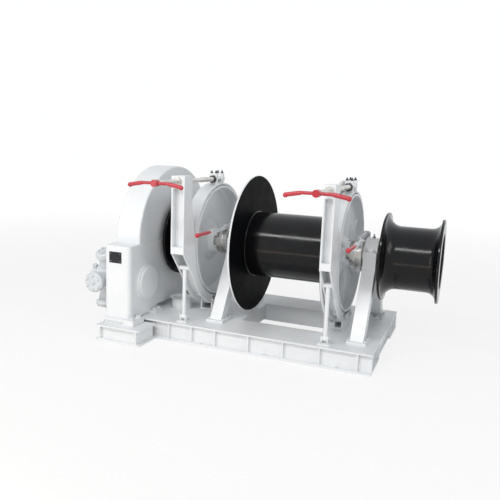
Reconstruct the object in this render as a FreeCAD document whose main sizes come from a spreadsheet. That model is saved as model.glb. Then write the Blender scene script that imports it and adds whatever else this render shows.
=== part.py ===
"""Mooring winch with a rope drum, a cable lifter and a warping head on one shaft.

Frame of the model: millimetres, +X along the shaft from the gear case to the warping head, +Z up.
The origin is the middle of the base frame's footprint, on the foundation, below the shaft.
"""
import FreeCAD, Part
import math
import os

import Sketcher

SIZES = (
    # Base frame
    ("base_length", 2050), ("base_width", 1210), ("deck_height", 144), ("deck_plate", 12),
    ("flange_plate", 14), ("flange_lip", 10), ("web_plate", 12), ("web_inset", 26), ("girder_width", 330),
    ("rib_plate", 12), ("rib_setback", 4), ("rib_pitch", 268), ("rib_close_pitch", 196),
    ("rib_end_margin", 100), ("opening_margin", 10), ("foundation_hole", 13), ("hole_margin", 22),
    # Gear bed beside the base frame
    ("bed_length", 383), ("bed_front_over", 246), ("bed_back_over", 120), ("bed_step", 24),
    # Shaft line
    ("shaft_radius", 70), ("running_clearance", 0.05), ("seat_gap", 0.3), ("drum_station", -68),
    # Rope drum
    ("drum_length", 679), ("barrel_radius", 260), ("barrel_wall", 18), ("flange_radius", 550),
    ("flange_thickness", 20), ("rim_radius", 9), ("drum_hub_radius", 120), ("drum_hub_length", 70),
    # Brake wheels
    ("wheel_radius", 454), ("wheel_rim", 18), ("left_wheel_width", 120), ("right_wheel_width", 91),
    ("wheel_web", 18), ("wheel_hub_radius", 150), ("wheel_rib", 14), ("wheel_rib_count", 6),
    ("wheel_dish", 30), ("wheel_fillet", 26), ("hub_taper", 14), ("web_back", 12), ("rib_rise", 8),
    ("rib_low", 20), ("rib_inset", 10), ("left_wheel_gap", 295),
    # Jaw clutches
    ("jaw_radius", 108), ("jaw_length", 24), ("jaw_angle", 40), ("jaw_gap", 5), ("jaw_count", 4),
    ("sleeve_length", 66), ("groove_width", 34), ("groove_depth", 20), ("key_width", 22),
    ("key_height", 14), ("jaw_relief", 2), ("sleeve_chamfer", 4),
    # Clutch levers
    ("lever_arm", 250), ("lever_bar", 24), ("lever_boss_radius", 30), ("lever_pin_radius", 14),
    ("lever_set", 46), ("lever_bend_start", 60), ("lever_bend_end", 200), ("lever_reach", 670),
    ("fork_pin_radius", 12), ("fork_gap", 5), ("fork_pin_play", 2), ("grip_length", 230),
    ("grip_radius", 14), ("bracket_plate", 22), ("bracket_hold", 40), ("pin_head", 10),
    # Cable lifter
    ("lifter_length", 240), ("lifter_gap", 25), ("lifter_radius", 320), ("lifter_rim", 26),
    ("throat_radius", 236), ("throat_width", 128), ("chain_groove", 44), ("chain_groove_radius", 178),
    ("pocket_count", 5), ("pocket_length", 205), ("pocket_width", 116), ("pocket_floor", 206),
    ("lifter_hub_radius", 135),
    # Stands
    ("stand_width", 96), ("left_stand_gap", 84), ("right_stand_gap", 110), ("stand_foot_inset", 175),
    ("stand_half_top", 150), ("stand_leg", 104), ("stand_shoulder_drop", 80), ("stand_crotch_drop", 180),
    ("foot_plate", 20), ("foot_overhang", 22), ("foot_depth", 190), ("bearing_radius", 132),
    ("bearing_lug_height", 40),
    # Gear case
    ("case_gap", 32), ("case_length", 227), ("case_front_over", 134), ("case_back_over", 10),
    ("case_lift", 6), ("case_round", 36), ("cover_radius", 592), ("cover_inset", 8), ("cover_round", 14),
    ("recess_half", 340), ("recess_height", 40), ("foot_pad", 110), ("pad_front", 40), ("pad_inset", 30),
    ("pad_proud", 60), ("pad_height", 12), ("shaft_pocket", 150), ("gland_radius", 150),
    ("gland_thickness", 22), ("gland_play", 3), ("gland_lip", 20), ("gland_shoulder", 10),
    ("gland_step", 8), ("pinion_drop", 315), ("pinion_inset", 253), ("cap_radius", 148),
    ("cap_thickness", 28), ("cap_step", 16), ("cap_shoulder", 10), ("cap_bevel", 4),
    # Hydraulic motor
    ("motor_flange_radius", 150), ("motor_flange", 24), ("motor_case_radius", 118),
    ("motor_case_length", 205), ("cylinder_station", 118), ("cylinder_radius", 64),
    ("cylinder_reach", 196), ("head_radius", 80), ("head_thickness", 44), ("head_round", 12),
    ("cylinder_count", 5), ("valve_radius", 84), ("valve_length", 62), ("valve_boss_radius", 46),
    ("valve_boss_length", 30), ("motor_chamfer", 14), ("valve_chamfer", 8),
    # Chain pipe
    ("pipe_radius", 70), ("pipe_wall", 12), ("pipe_height", 96), ("pipe_flare", 26), ("pipe_margin", 19),
    # Band brakes
    ("lining_gap", 6), ("band_thickness", 14), ("band_margin", 6), ("band_opening", 8),
    ("band_foot_angle", 12), ("tail_foot_angle", 17), ("tail_start_angle", 70), ("band_lug", 24),
    ("lug_height", 78), ("lug_width", 66), ("lug_spread", 46), ("frame_plate", 12), ("post_front", 655),
    ("post_back", 530), ("post_top", 545), ("post_bottom", -24), ("post_waist", 330), ("frame_land", 60),
    ("frame_knee", 470), ("web_recess", 46), ("tail_radius", 530), ("anchor_half", 95), ("eye_gap", 4),
    ("anchor_rise", 71), ("anchor_pin", 16), ("pin_proud", 5), ("eye_radius", 27), ("anchor_ear", 14),
    ("anchor_land", 27), ("anchor_base", 12), ("strut_inset", 77), ("strut_radius", 15),
    ("strut_foot", 84), ("strut_top", 150), ("strut_plate", 12), ("strut_ear", 10),
    ("strut_ear_half", 22), ("strut_ear_height", 62), ("strut_fork_half", 16), ("strut_pin", 8),
    ("strut_pin_rise", 40), ("strut_pin_proud", 8), ("strut_eye_radius", 20), ("lug_sink", 8),
    ("sill_drop", 6), ("ear_margin", 20), ("ear_taper", 16), ("spindle_radius", 18),
    ("spindle_rise", 505), ("spindle_front", 945), ("spindle_back", 100), ("collar_radius", 30),
    ("collar_length", 22), ("tbar_length", 400), ("tbar_radius", 11), ("tbar_hub_radius", 24),
    ("tbar_hub_length", 50), ("tbar_grip_radius", 14), ("tbar_grip_length", 110), ("tbar_droop", 10),
    ("tbar_bend_radius", 60), ("tbar_chamfer", 4),
    # Warping head
    ("right_shaft_gap", 36), ("head_length", 415), ("head_barrel_radius", 236),
    ("head_inner_radius", 330), ("head_outer_radius", 308), ("head_rim", 18), ("head_shaft_radius", 65),
    ("head_recess", 64), ("head_recess_radius", 188), ("head_wall", 30), ("head_hub_radius", 104),
    ("head_nut_radius", 84), ("head_nut_length", 26), ("nut_chamfer", 8), ("head_step", 8),
    ("head_lip", 16), ("rim_chamfer", 6),
)


class Length:
    """A size or a place: its number now, and the sheet formula that gives it."""

    def __init__(self, value, formula=None):
        self.value = float(value)
        self.formula = formula or repr(float(value))

    def _join(self, sign, other, value):
        return Length(value, "(%s %s %s)" % (self.formula, sign, other.formula))

    def __add__(self, other):
        other = length(other)
        return self._join("+", other, self.value + other.value)

    def __sub__(self, other):
        other = length(other)
        return self._join("-", other, self.value - other.value)

    def __mul__(self, other):
        other = length(other)
        return self._join("*", other, self.value * other.value)

    def __truediv__(self, other):
        other = length(other)
        return self._join("/", other, self.value / other.value)

    def __neg__(self):
        return length(0) - self

    def __radd__(self, other):
        return length(other) + self

    def __rsub__(self, other):
        return length(other) - self

    def __rmul__(self, other):
        return length(other) * self


def length(number):
    """Give a plain number the same handling as a named size."""
    return number if isinstance(number, Length) else Length(number)


def cosine(degrees):
    degrees = length(degrees)
    return Length(math.cos(math.radians(degrees.value)), "cos(%s)" % degrees.formula)


def sine(degrees):
    degrees = length(degrees)
    return Length(math.sin(math.radians(degrees.value)), "sin(%s)" % degrees.formula)


def root(number):
    return Length(math.sqrt(number.value), "sqrt(%s)" % number.formula)


def polar(radius, degrees):
    """A point at an angle from the first axis of a sketch."""
    return radius * cosine(degrees), radius * sine(degrees)


class Sizes:
    """The driving sizes, kept in a sheet and read as Length values by name."""

    def __init__(self, doc):
        sheet = doc.addObject("Spreadsheet::Sheet", "Dims")
        for row, (name, value) in enumerate(SIZES, start=1):
            sheet.set("A%d" % row, name)
            sheet.set("B%d" % row, str(value))
            sheet.setAlias("B%d" % row, name)
            setattr(self, name, Length(value, "Dims." + name))
        doc.recompute()


class Arc:
    """A round stretch of an outline: where it ends, its centre, and which way it turns."""

    def __init__(self, end, centre, clockwise=False):
        self.end = end
        self.centre = centre
        self.clockwise = clockwise


doc = FreeCAD.newDocument("MooringWinch")
d = Sizes(doc)
nodes = []


# ---------------------------------------------------------------------------------------------
# Places along the shaft line, from the drum outwards
# ---------------------------------------------------------------------------------------------
class Stations:
    """Where each piece starts and ends along X."""

    base_left = -d.base_length / 2
    base_right = d.base_length / 2
    drum_left = d.drum_station
    drum_right = drum_left + d.drum_length
    flange_left = drum_left - d.flange_thickness
    flange_right = drum_right + d.flange_thickness
    left_wheel_right = drum_left - d.flange_thickness - d.left_wheel_gap
    left_wheel_left = left_wheel_right - d.left_wheel_width
    right_wheel_left = flange_right
    right_wheel_right = flange_right + d.right_wheel_width
    lifter_right = left_wheel_left - d.lifter_gap
    lifter_left = lifter_right - d.lifter_length
    case_right = lifter_left - d.case_gap
    case_left = case_right - d.case_length
    left_stand_right = flange_left - d.left_stand_gap
    left_stand_left = left_stand_right - d.stand_width
    right_stand_left = right_wheel_right + d.right_stand_gap
    right_stand_right = right_stand_left + d.stand_width
    head_left = right_stand_right + d.right_shaft_gap
    head_right = head_left + d.head_length
    bed_right = base_left + d.bed_length
    opening_left = drum_left + d.opening_margin
    opening_right = drum_right - d.opening_margin


at = Stations
BAND_INNER = d.wheel_radius + d.lining_gap
BAND_OUTER = BAND_INNER + d.band_thickness
OPENING_HALF = d.base_width / 2 - d.girder_width
ANCHOR_DROP = BAND_OUTER + d.eye_radius + d.eye_gap
ANCHOR_Z = d.deck_height + d.anchor_rise
SHAFT_Z = ANCHOR_Z + ANCHOR_DROP
CHAIN_X = (at.lifter_left + at.lifter_right) / 2
CHAIN_Y = -(OPENING_HALF - d.pipe_radius - d.pipe_margin)
CASE_FRONT = d.base_width / 2 + d.case_front_over
CASE_BACK = d.base_width / 2 + d.case_back_over
CASE_FLOOR = d.deck_height + d.case_lift
BED_HEIGHT = d.deck_height - d.bed_step
STAND_HALF_FOOT = d.base_width / 2 - d.stand_foot_inset
PINION_Y = d.pinion_inset - CASE_FRONT
ORIGIN = (length(0), length(0), length(0))


# ---------------------------------------------------------------------------------------------
# Drawing helpers
# ---------------------------------------------------------------------------------------------
def bind(thing, name, formula_of):
    """Let the sheet drive one property."""
    thing.setExpression(name, length(formula_of).formula)


def place(thing, x=0, y=0, z=0, axis=None, angle=0):
    """Set a Placement whose three coordinates follow the sheet."""
    spot = [length(value) for value in (x, y, z)]
    turn = FreeCAD.Rotation(FreeCAD.Vector(*(axis or (0, 0, 1))), angle)
    thing.Placement = FreeCAD.Placement(FreeCAD.Vector(*[value.value for value in spot]), turn)
    for letter, value in zip("xyz", spot):
        bind(thing, "Placement.Base." + letter, value)
    return thing


def new_body(name, x=0, y=0, z=0, axis=None, angle=0):
    return place(doc.addObject("PartDesign::Body", name), x, y, z, axis, angle)


def origin_part(body, role):
    """Find one of the body's own planes or axes."""
    return [part for part in body.Origin.OriginFeatures if part.Role == role][0]


def fix(sketch, kind, item, point, value):
    """Dimension one coordinate of one point from the sketch's origin."""
    value = length(value)
    index = sketch.addConstraint(Sketcher.Constraint(kind, item, point, value.value))
    sketch.setExpression("Constraints[%d]" % index, value.formula)


def same_spot(first, second):
    return all(abs(a.value - b.value) < 1e-9 for a, b in zip(first, second))


def draw_step(sketch, first, last, step):
    """Draw one side from first to last and give back its own number and its two end points' numbers."""
    if not isinstance(step, Arc):
        return sketch.addGeometry(Part.LineSegment(first, last), False), 1, 2
    centre = [length(value) for value in step.centre]
    middle = FreeCAD.Vector(centre[0].value, centre[1].value, 0)
    circle = Part.Circle(middle, FreeCAD.Vector(0, 0, 1), (first - middle).Length)
    angles = [math.atan2(spot.y - middle.y, spot.x - middle.x) for spot in (first, last)]
    if step.clockwise:
        angles.reverse()
    item = sketch.addGeometry(Part.ArcOfCircle(circle, angles[0], angles[1]), False)
    chord = last - first
    if abs(chord.y) > abs(chord.x):
        fix(sketch, "DistanceX", item, 3, centre[0])
    else:
        fix(sketch, "DistanceY", item, 3, centre[1])
    return (item, 2, 1) if step.clockwise else (item, 1, 2)


def corner_of(step):
    """The named corner that a step leads to."""
    u, v = step.end if isinstance(step, Arc) else step
    return length(u), length(v)


def spot_of(corner):
    return FreeCAD.Vector(corner[0].value, corner[1].value, 0)


def fix_corner(sketch, item, point, corner):
    fix(sketch, "DistanceX", item, point, corner[0])
    fix(sketch, "DistanceY", item, point, corner[1])


def draw_outline(sketch, steps):
    """Draw one closed outline. A step is a corner, or an Arc that leads to its own end."""
    corners = [corner_of(step) for step in steps]
    if isinstance(steps[-1], Arc) and same_spot(corners[-1], corners[0]):
        steps, corners = steps[1:], corners[1:]
    ends = [draw_step(sketch, spot_of(corners[index - 1]), spot_of(corners[index]), step)
            for index, step in enumerate(steps)]
    for index, (item, _, last_point) in enumerate(ends):
        following, first_point, _ = ends[(index + 1) % len(ends)]
        sketch.addConstraint(Sketcher.Constraint("Coincident", item, last_point, following, first_point))
    for (item, _, last_point), corner in zip(ends, corners):
        fix_corner(sketch, item, last_point, corner)


def draw_path(sketch, steps):
    """Draw one open line that starts at the first corner."""
    corners = [corner_of(step) for step in steps]
    ends = [draw_step(sketch, spot_of(corners[index]), spot_of(corners[index + 1]), step)
            for index, step in enumerate(steps[1:])]
    for before, after in zip(ends, ends[1:]):
        sketch.addConstraint(Sketcher.Constraint("Coincident", before[0], before[2], after[0], after[1]))
    fix_corner(sketch, ends[0][0], ends[0][1], corners[0])
    for (item, _, last_point), corner in zip(ends, corners[1:]):
        fix_corner(sketch, item, last_point, corner)


def draw_circle(sketch, u, v, radius):
    radius = length(radius)
    middle = FreeCAD.Vector(length(u).value, length(v).value, 0)
    item = sketch.addGeometry(Part.Circle(middle, FreeCAD.Vector(0, 0, 1), radius.value), False)
    fix(sketch, "DistanceX", item, 3, u)
    fix(sketch, "DistanceY", item, 3, v)
    index = sketch.addConstraint(Sketcher.Constraint("Radius", item, radius.value))
    sketch.setExpression("Constraints[%d]" % index, radius.formula)


def add_sketch(body, plane, outlines=(), circles=(), offset=0):
    """Sketch on one of the body's own planes, set off along the plane's normal."""
    sketch = body.newObject("Sketcher::SketchObject", body.Name + "_sketch")
    sketch.AttachmentSupport = [(origin_part(body, plane + "_Plane"), "")]
    sketch.MapMode = "FlatFace"
    shift = FreeCAD.Vector(0, 0, length(offset).value)
    sketch.AttachmentOffset = FreeCAD.Placement(shift, FreeCAD.Rotation())
    bind(sketch, "AttachmentOffset.Base.z", offset)
    for steps in outlines:
        draw_outline(sketch, steps)
    for u, v, radius in circles:
        draw_circle(sketch, u, v, radius)
    return sketch


def add_pad(body, sketch, depth, middle=False, back=False):
    pad = body.newObject("PartDesign::Pad", body.Name + "_pad")
    pad.Profile = sketch
    bind(pad, "Length", depth)
    pad.Midplane = middle
    pad.Reversed = back
    return pad


def add_turn(body, sketch, axis):
    """Turn a sketch right round one of its own axes."""
    turn = body.newObject("PartDesign::Revolution", body.Name + "_turn")
    turn.Profile = sketch
    turn.ReferenceAxis = (sketch, [axis])
    turn.Angle = 360
    return turn


def add_ring_of(body, feature, count, axis="X_Axis"):
    """Repeat a feature round one of the body's own axes."""
    ring = body.newObject("PartDesign::PolarPattern", body.Name + "_ring")
    ring.Originals = [feature]
    ring.Axis = (origin_part(body, axis), [""])
    ring.Angle = 360
    bind(ring, "Occurrences", count)
    body.Tip = ring
    return ring


def padded(name, plane, steps, depth, spot=ORIGIN, middle=False, back=False, circles=()):
    """A plate: one outline, with round holes, given a thickness."""
    body = new_body(name, *spot)
    add_pad(body, add_sketch(body, plane, [steps], circles), depth, middle, back)
    return body


def turned(name, steps, spot=ORIGIN, plane="XZ", axis="H_Axis"):
    """A turned piece: half of its section, spun round the sketch's axis."""
    body = new_body(name, *spot)
    add_turn(body, add_sketch(body, plane, [steps]), axis)
    return body


def box(name, x0, x1, y0, y1, z0, z1):
    """A straight bar or plate between two corners."""
    thing = doc.addObject("Part::Box", name)
    for side, low, high in (("Length", x0, x1), ("Width", y0, y1), ("Height", z0, z1)):
        bind(thing, side, length(high) - low)
    return place(thing, x0, y0, z0)


def rod(name, radius, long, x, y, z, along="Z"):
    """A round bar that starts at a point and runs along one axis."""
    thing = doc.addObject("Part::Cylinder", name)
    bind(thing, "Radius", radius)
    bind(thing, "Height", long)
    turns = {"X": ((0, 1, 0), 90), "Y": ((1, 0, 0), -90), "Z": ((0, 0, 1), 0)}
    return place(thing, x, y, z, *turns[along])


def fused(name, pieces):
    thing = doc.addObject("Part::MultiFuse", name)
    thing.Shapes = pieces
    thing.Refine = True
    return thing


def cut(name, base, tools):
    thing = doc.addObject("Part::Cut", name)
    thing.Base = base
    thing.Tool = tools[0] if len(tools) == 1 else fused(name + "_tools", tools)
    return thing


def mirrored_y(name, source):
    """The same piece on the other side of the shaft."""
    thing = doc.addObject("Part::Mirroring", name)
    thing.Source = source
    thing.Normal = FreeCAD.Vector(0, 1, 0)
    return thing


def node(label, thing):
    """Name a finished piece."""
    thing.Label = label
    nodes.append(thing)
    return thing


# ---------------------------------------------------------------------------------------------
# Base frame
# ---------------------------------------------------------------------------------------------
def rib_stations():
    """X of each stiffener on a girder's outer face, from the warping-head end."""
    last = at.base_right - d.rib_end_margin
    wide = [last - d.rib_pitch * step for step in range(5)]
    return wide + [wide[-1] - d.rib_close_pitch * step for step in (1, 2)]


def girder():
    """The front girder: a box beam with its outer web set back behind ribs."""
    outer = -d.base_width / 2
    inner = -OPENING_HALF
    top = d.deck_height - d.deck_plate
    web = outer + d.web_inset
    left, right = at.base_left, at.base_right
    pieces = [
        box("girder_top", left, right, outer, inner, top, d.deck_height),
        box("girder_flange", left, right, outer - d.flange_lip, inner, 0, d.flange_plate),
        box("girder_web", left, right, web, web + d.web_plate, d.flange_plate, top),
        box("girder_inner_web", left, right, inner - d.web_plate, inner, d.flange_plate, top),
        box("girder_end_web", right - d.web_inset - d.web_plate, right - d.web_inset, web, inner,
            d.flange_plate, top),
    ]
    for number, x in enumerate(rib_stations()):
        pieces.append(box("girder_rib%d" % number, x - d.rib_plate / 2, x + d.rib_plate / 2,
                          outer + d.rib_setback, web, d.flange_plate, top))
    beam = fused("girder_beam", pieces)
    holes = [rod("girder_hole%d" % number, d.foundation_hole, d.flange_plate * 3, x,
                 outer + d.hole_margin / 2, -d.flange_plate)
             for number, x in enumerate(foundation_stations())]
    return cut("front_girder", beam, holes)


def foundation_stations():
    """X of the foundation bolts, midway between ribs, the same on both sides of the middle."""
    outer = at.base_right - d.rib_end_margin - d.rib_pitch / 2
    return [outer, outer - d.rib_pitch * 2, -outer + d.rib_pitch * 2, -outer]


def deck(name, left, right, end_x, hole_x):
    """A cross member that closes the base frame between the girders."""
    half = OPENING_HALF
    top = d.deck_height - d.deck_plate
    return fused(name, [
        box(name + "_plate", left, right, -half, half, top, d.deck_height),
        box(name + "_end", end_x, end_x + d.web_plate, -half, half, d.flange_plate, top),
        box(name + "_cross", hole_x, hole_x + d.web_plate, -half, half, d.flange_plate, top),
        box(name + "_foot", end_x - d.web_plate, end_x + d.web_plate * 2, -half, half, 0, d.flange_plate),
    ])


def chain_hole():
    """The round hole under the chain pipe."""
    return rod("chain_hole", d.pipe_radius, d.deck_plate * 3, CHAIN_X, CHAIN_Y,
               d.deck_height - d.deck_plate * 2)


def gear_bed(name, near, far):
    """The lower bed that carries the gear case where it overhangs the base frame."""
    low, high = (far, near) if far.value < near.value else (near, far)
    left, right = at.base_left, at.bed_right
    top = BED_HEIGHT - d.deck_plate
    edge = (low + d.web_inset) if far.value < near.value else (high - d.web_inset - d.web_plate)
    return fused(name, [
        box(name + "_plate", left, right, low, high, top, BED_HEIGHT),
        box(name + "_flange", left, right, low, high, 0, d.flange_plate),
        box(name + "_web", left + d.web_inset, right - d.web_inset, edge, edge + d.web_plate,
            d.flange_plate, top),
        box(name + "_side_left", left + d.web_inset, left + d.web_inset + d.web_plate, low, high,
            d.flange_plate, top),
        box(name + "_side_right", right - d.web_inset - d.web_plate, right - d.web_inset, low, high,
            d.flange_plate, top),
    ])


def build_base():
    front = node("front_girder", girder())
    node("back_girder", mirrored_y("back_girder", front))
    plain = deck("left_deck_plain", at.base_left, at.opening_left, at.base_left + d.web_inset,
                 at.opening_left - d.web_plate)
    node("left_deck", cut("left_deck", plain, [chain_hole()]))
    node("right_deck", deck("right_deck", at.opening_right, at.base_right,
                            at.base_right - d.web_inset - d.web_plate, at.opening_right))
    girder_edge = d.base_width / 2 + d.flange_lip
    node("gear_bed_front", gear_bed("gear_bed_front", -girder_edge, -d.base_width / 2 - d.bed_front_over))
    node("gear_bed_back", gear_bed("gear_bed_back", girder_edge, d.base_width / 2 + d.bed_back_over))


# ---------------------------------------------------------------------------------------------
# Gear case and motor
# ---------------------------------------------------------------------------------------------
def gear_case():
    """The lower half of the case, open below between its two feet."""
    front, back = -CASE_FRONT, CASE_BACK
    split, floor = SHAFT_Z, CASE_FLOOR
    arch = floor + d.recess_height
    shell = padded("case_shell", "YZ", [
        (front, floor), (-d.recess_half, floor), (-d.recess_half, arch), (d.recess_half, arch),
        (d.recess_half, floor), (back, floor), (back, split), (front, split)],
        d.case_length, (at.case_left, 0, 0))
    rounded = doc.addObject("Part::Fillet", "case_rounded")
    rounded.Base = shell
    doc.recompute()
    upright = [index + 1 for index, edge in enumerate(shell.Shape.Edges) if is_outer_upright(edge)]
    rounded.Edges = [(index, d.case_round.value, d.case_round.value) for index in upright]
    pads = []
    for number, (y0, y1, floor_z) in enumerate((
            (front - d.pad_front, front + d.foot_pad, BED_HEIGHT),
            (-d.recess_half - d.foot_pad, -d.recess_half, d.deck_height),
            (d.recess_half, d.recess_half + d.foot_pad, d.deck_height))):
        pads.append(box("case_pad%d" % number, at.case_left + d.pad_inset, at.case_right + d.pad_proud,
                        y0, y1, floor_z, floor + d.pad_height))
    return cut("gear_case", fused("case_solid", [rounded] + pads), [shaft_pocket("case_pocket")])


def shaft_pocket(name):
    """The blind bore in the case's right face that holds the end of the shaft."""
    return rod(name, d.shaft_radius + d.running_clearance, d.shaft_pocket, at.case_right - d.shaft_pocket,
               0, SHAFT_Z, "X")


def is_outer_upright(edge):
    """Whether an edge is a vertical corner at the front or back of the case."""
    bounds = edge.BoundBox
    tall = bounds.ZLength > (SHAFT_Z - CASE_FLOOR).value * 0.9
    return tall and bounds.XLength < 1 and bounds.YLength < 1


def gear_cover():
    """The upper half of the case, round about the main shaft."""
    radius = d.cover_radius
    body = padded("cover_shell", "YZ", [(radius, 0), Arc((-radius, 0), (0, 0))],
                  d.case_length - d.cover_inset * 2, (at.case_left + d.cover_inset, 0, SHAFT_Z))
    doc.recompute()
    shell = body.Tip
    rims = [name for name, edge in named_edges(shell) if is_cover_rim(edge)]
    rim = body.newObject("PartDesign::Fillet", "cover_rim")
    rim.Base = (shell, rims)
    bind(rim, "Radius", d.cover_round)
    return cut("gear_cover", body, [shaft_pocket("cover_pocket")])


def named_edges(feature):
    return [("Edge%d" % (index + 1), edge) for index, edge in enumerate(feature.Shape.Edges)]


def is_cover_rim(edge):
    """Whether an edge runs over the top of the cover, at the cover's own radius."""
    return edge.BoundBox.YLength > d.cover_radius.value * 1.9 and edge.BoundBox.ZLength > 1


def shaft_gland():
    inner = d.shaft_radius + d.gland_play
    return turned("shaft_gland", [
        (0, inner), (d.gland_thickness, inner), (d.gland_thickness, d.gland_radius - d.gland_lip),
        (d.gland_shoulder, d.gland_radius - d.gland_step), (d.gland_shoulder, d.gland_radius),
        (0, d.gland_radius)], (at.case_right, 0, SHAFT_Z))


def pinion_cap():
    """The round cover over the pinion's bearing."""
    inner = d.cap_radius - d.cap_step
    return turned("pinion_cap", [
        (0, 0), (d.cap_thickness, 0), (d.cap_thickness, inner - d.cap_shoulder),
        (d.cap_thickness - d.cap_bevel, inner), (d.cap_thickness / 2, inner),
        (d.cap_thickness / 2, d.cap_radius), (0, d.cap_radius)], (at.case_right, PINION_Y, SHAFT_Z - d.pinion_drop))


def build_motor():
    """The star's cylinders are turned about their own line, so the body is built in two steps."""
    y, z = PINION_Y, SHAFT_Z - d.pinion_drop
    end = -d.motor_case_length
    case = turned("motor_case", [
        (0, 0), (0, d.motor_flange_radius), (-d.motor_flange, d.motor_flange_radius),
        (-d.motor_flange, d.motor_case_radius), (end + d.motor_chamfer, d.motor_case_radius),
        (end, d.motor_case_radius - d.motor_chamfer), (end, 0)], (at.case_left, y, z))
    crown = d.cylinder_reach + d.head_thickness
    star = new_body("motor_star", at.case_left - d.cylinder_station, y, z)
    first = add_turn(star, add_sketch(star, "XY", [[
        (0, 0), (0, -crown), (d.head_radius - d.head_round, -crown),
        (d.head_radius, -crown + d.head_round), (d.head_radius, -d.cylinder_reach),
        (d.cylinder_radius, -d.cylinder_reach), (d.cylinder_radius, 0)]]), "V_Axis")
    add_ring_of(star, first, d.cylinder_count)
    node("hydraulic_motor", fused("hydraulic_motor", [case, star]))
    node("motor_valve", turned("motor_valve", [
        (0, 0), (0, d.valve_radius), (-d.valve_length + d.valve_chamfer, d.valve_radius),
        (-d.valve_length, d.valve_radius - d.valve_chamfer), (-d.valve_length, d.valve_boss_radius),
        (-d.valve_length - d.valve_boss_length, d.valve_boss_radius),
        (-d.valve_length - d.valve_boss_length, 0)], (at.case_left - d.motor_case_length, y, z)))


def build_gear_end():
    node("gear_case", gear_case())
    node("gear_cover", gear_cover())
    node("shaft_gland", shaft_gland())
    node("pinion_cap", pinion_cap())
    build_motor()


# ---------------------------------------------------------------------------------------------
# Stands and clutch brackets
# ---------------------------------------------------------------------------------------------
def stand(name, left):
    """An A-shaped stand with the lower half of its bearing."""
    deck_z, foot_top = d.deck_height, d.deck_height + d.foot_plate
    half, leg = STAND_HALF_FOOT, d.stand_leg
    crotch, shoulder = SHAFT_Z - d.stand_crotch_drop, SHAFT_Z - d.stand_shoulder_drop
    frame = padded(name + "_frame", "YZ", [
        (-half, foot_top), (-half + leg, foot_top), (-leg, crotch), (leg, crotch),
        (half - leg, foot_top), (half, foot_top), (d.stand_half_top, shoulder),
        (d.stand_half_top, SHAFT_Z), (-d.stand_half_top, SHAFT_Z),
        (-d.stand_half_top, shoulder)],
        d.stand_width, (left, 0, 0))
    feet = []
    for side, y0, y1 in (("front", -half - d.foot_overhang, -half - d.foot_overhang + d.foot_depth),
                         ("back", half + d.foot_overhang - d.foot_depth, half + d.foot_overhang)):
        feet.append(box(name + "_foot_" + side, left - d.foot_overhang,
                        left + d.stand_width + d.foot_overhang, y0, y1, deck_z, foot_top))
    bore = rod(name + "_bore", d.shaft_radius + d.running_clearance, d.stand_width * 2,
               left - d.stand_width / 2, 0, SHAFT_Z, "X")
    return cut(name, fused(name + "_solid", [frame] + feet), [bore])


def bearing_cap(name, left):
    """The upper half of a bearing, with a lug for a bolt on each side."""
    inner, outer = d.shaft_radius + d.running_clearance, d.bearing_radius
    lug, rise = d.stand_half_top, d.bearing_lug_height
    meet = root(outer * outer - rise * rise)
    return padded(name, "YZ", [
        (lug, 0), (lug, rise), (meet, rise), Arc((-meet, rise), (0, 0)), (-lug, rise), (-lug, 0),
        (-inner, 0), Arc((inner, 0), (0, 0), clockwise=True)],
        d.stand_width, (left, 0, SHAFT_Z))


def lever_x(wheel_face):
    """X of a clutch sleeve's groove, and so of its lever."""
    return wheel_face + d.jaw_length + d.sleeve_length / 2


def lever_bracket(name, wheel_face, stand_left):
    """A plate on the stand's side, behind the shaft, with an upright pin for the clutch lever."""
    x, y = lever_x(wheel_face), d.lever_arm
    low = SHAFT_Z - d.jaw_radius - d.fork_gap - d.lever_bar - d.seat_gap
    tall = (d.jaw_radius + d.fork_gap + d.lever_bar) * 2 + d.seat_gap * 2
    plate = box(name + "_plate", x - d.lever_boss_radius, stand_left, d.stand_half_top - d.bracket_hold,
                y + d.lever_boss_radius, low - d.bracket_plate, low)
    pin = rod(name + "_pin", d.lever_pin_radius, tall, x, y, low)
    head = rod(name + "_head", d.lever_pin_radius * 1.5, d.pin_head, x, y, low + tall)
    return fused(name, [plate, pin, head])


def build_stands():
    for side, left, face in (("left", at.left_stand_left, at.left_wheel_right),
                             ("right", at.right_stand_left, at.right_wheel_right)):
        node("stand_" + side, stand("stand_" + side, left))
        node("bearing_cap_" + side, bearing_cap("bearing_cap_" + side, left))
        node("lever_bracket_" + side, lever_bracket("lever_bracket_" + side, face, left))


def build_chain_pipe():
    """A flared pipe in the deck where the chain goes down."""
    inner, wall, flare = d.pipe_radius, d.pipe_wall, d.pipe_flare
    top = d.pipe_height
    node("chain_pipe", turned("chain_pipe", [
        (inner, 0), (inner + wall, 0), (inner + wall, top - flare),
        Arc((inner + wall + flare, top), (inner + wall + flare, top - flare), clockwise=True),
        (inner + flare, top), Arc((inner, top - flare), (inner + flare, top - flare))],
        (CHAIN_X, CHAIN_Y, d.deck_height), "XZ", "V_Axis"))


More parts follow.
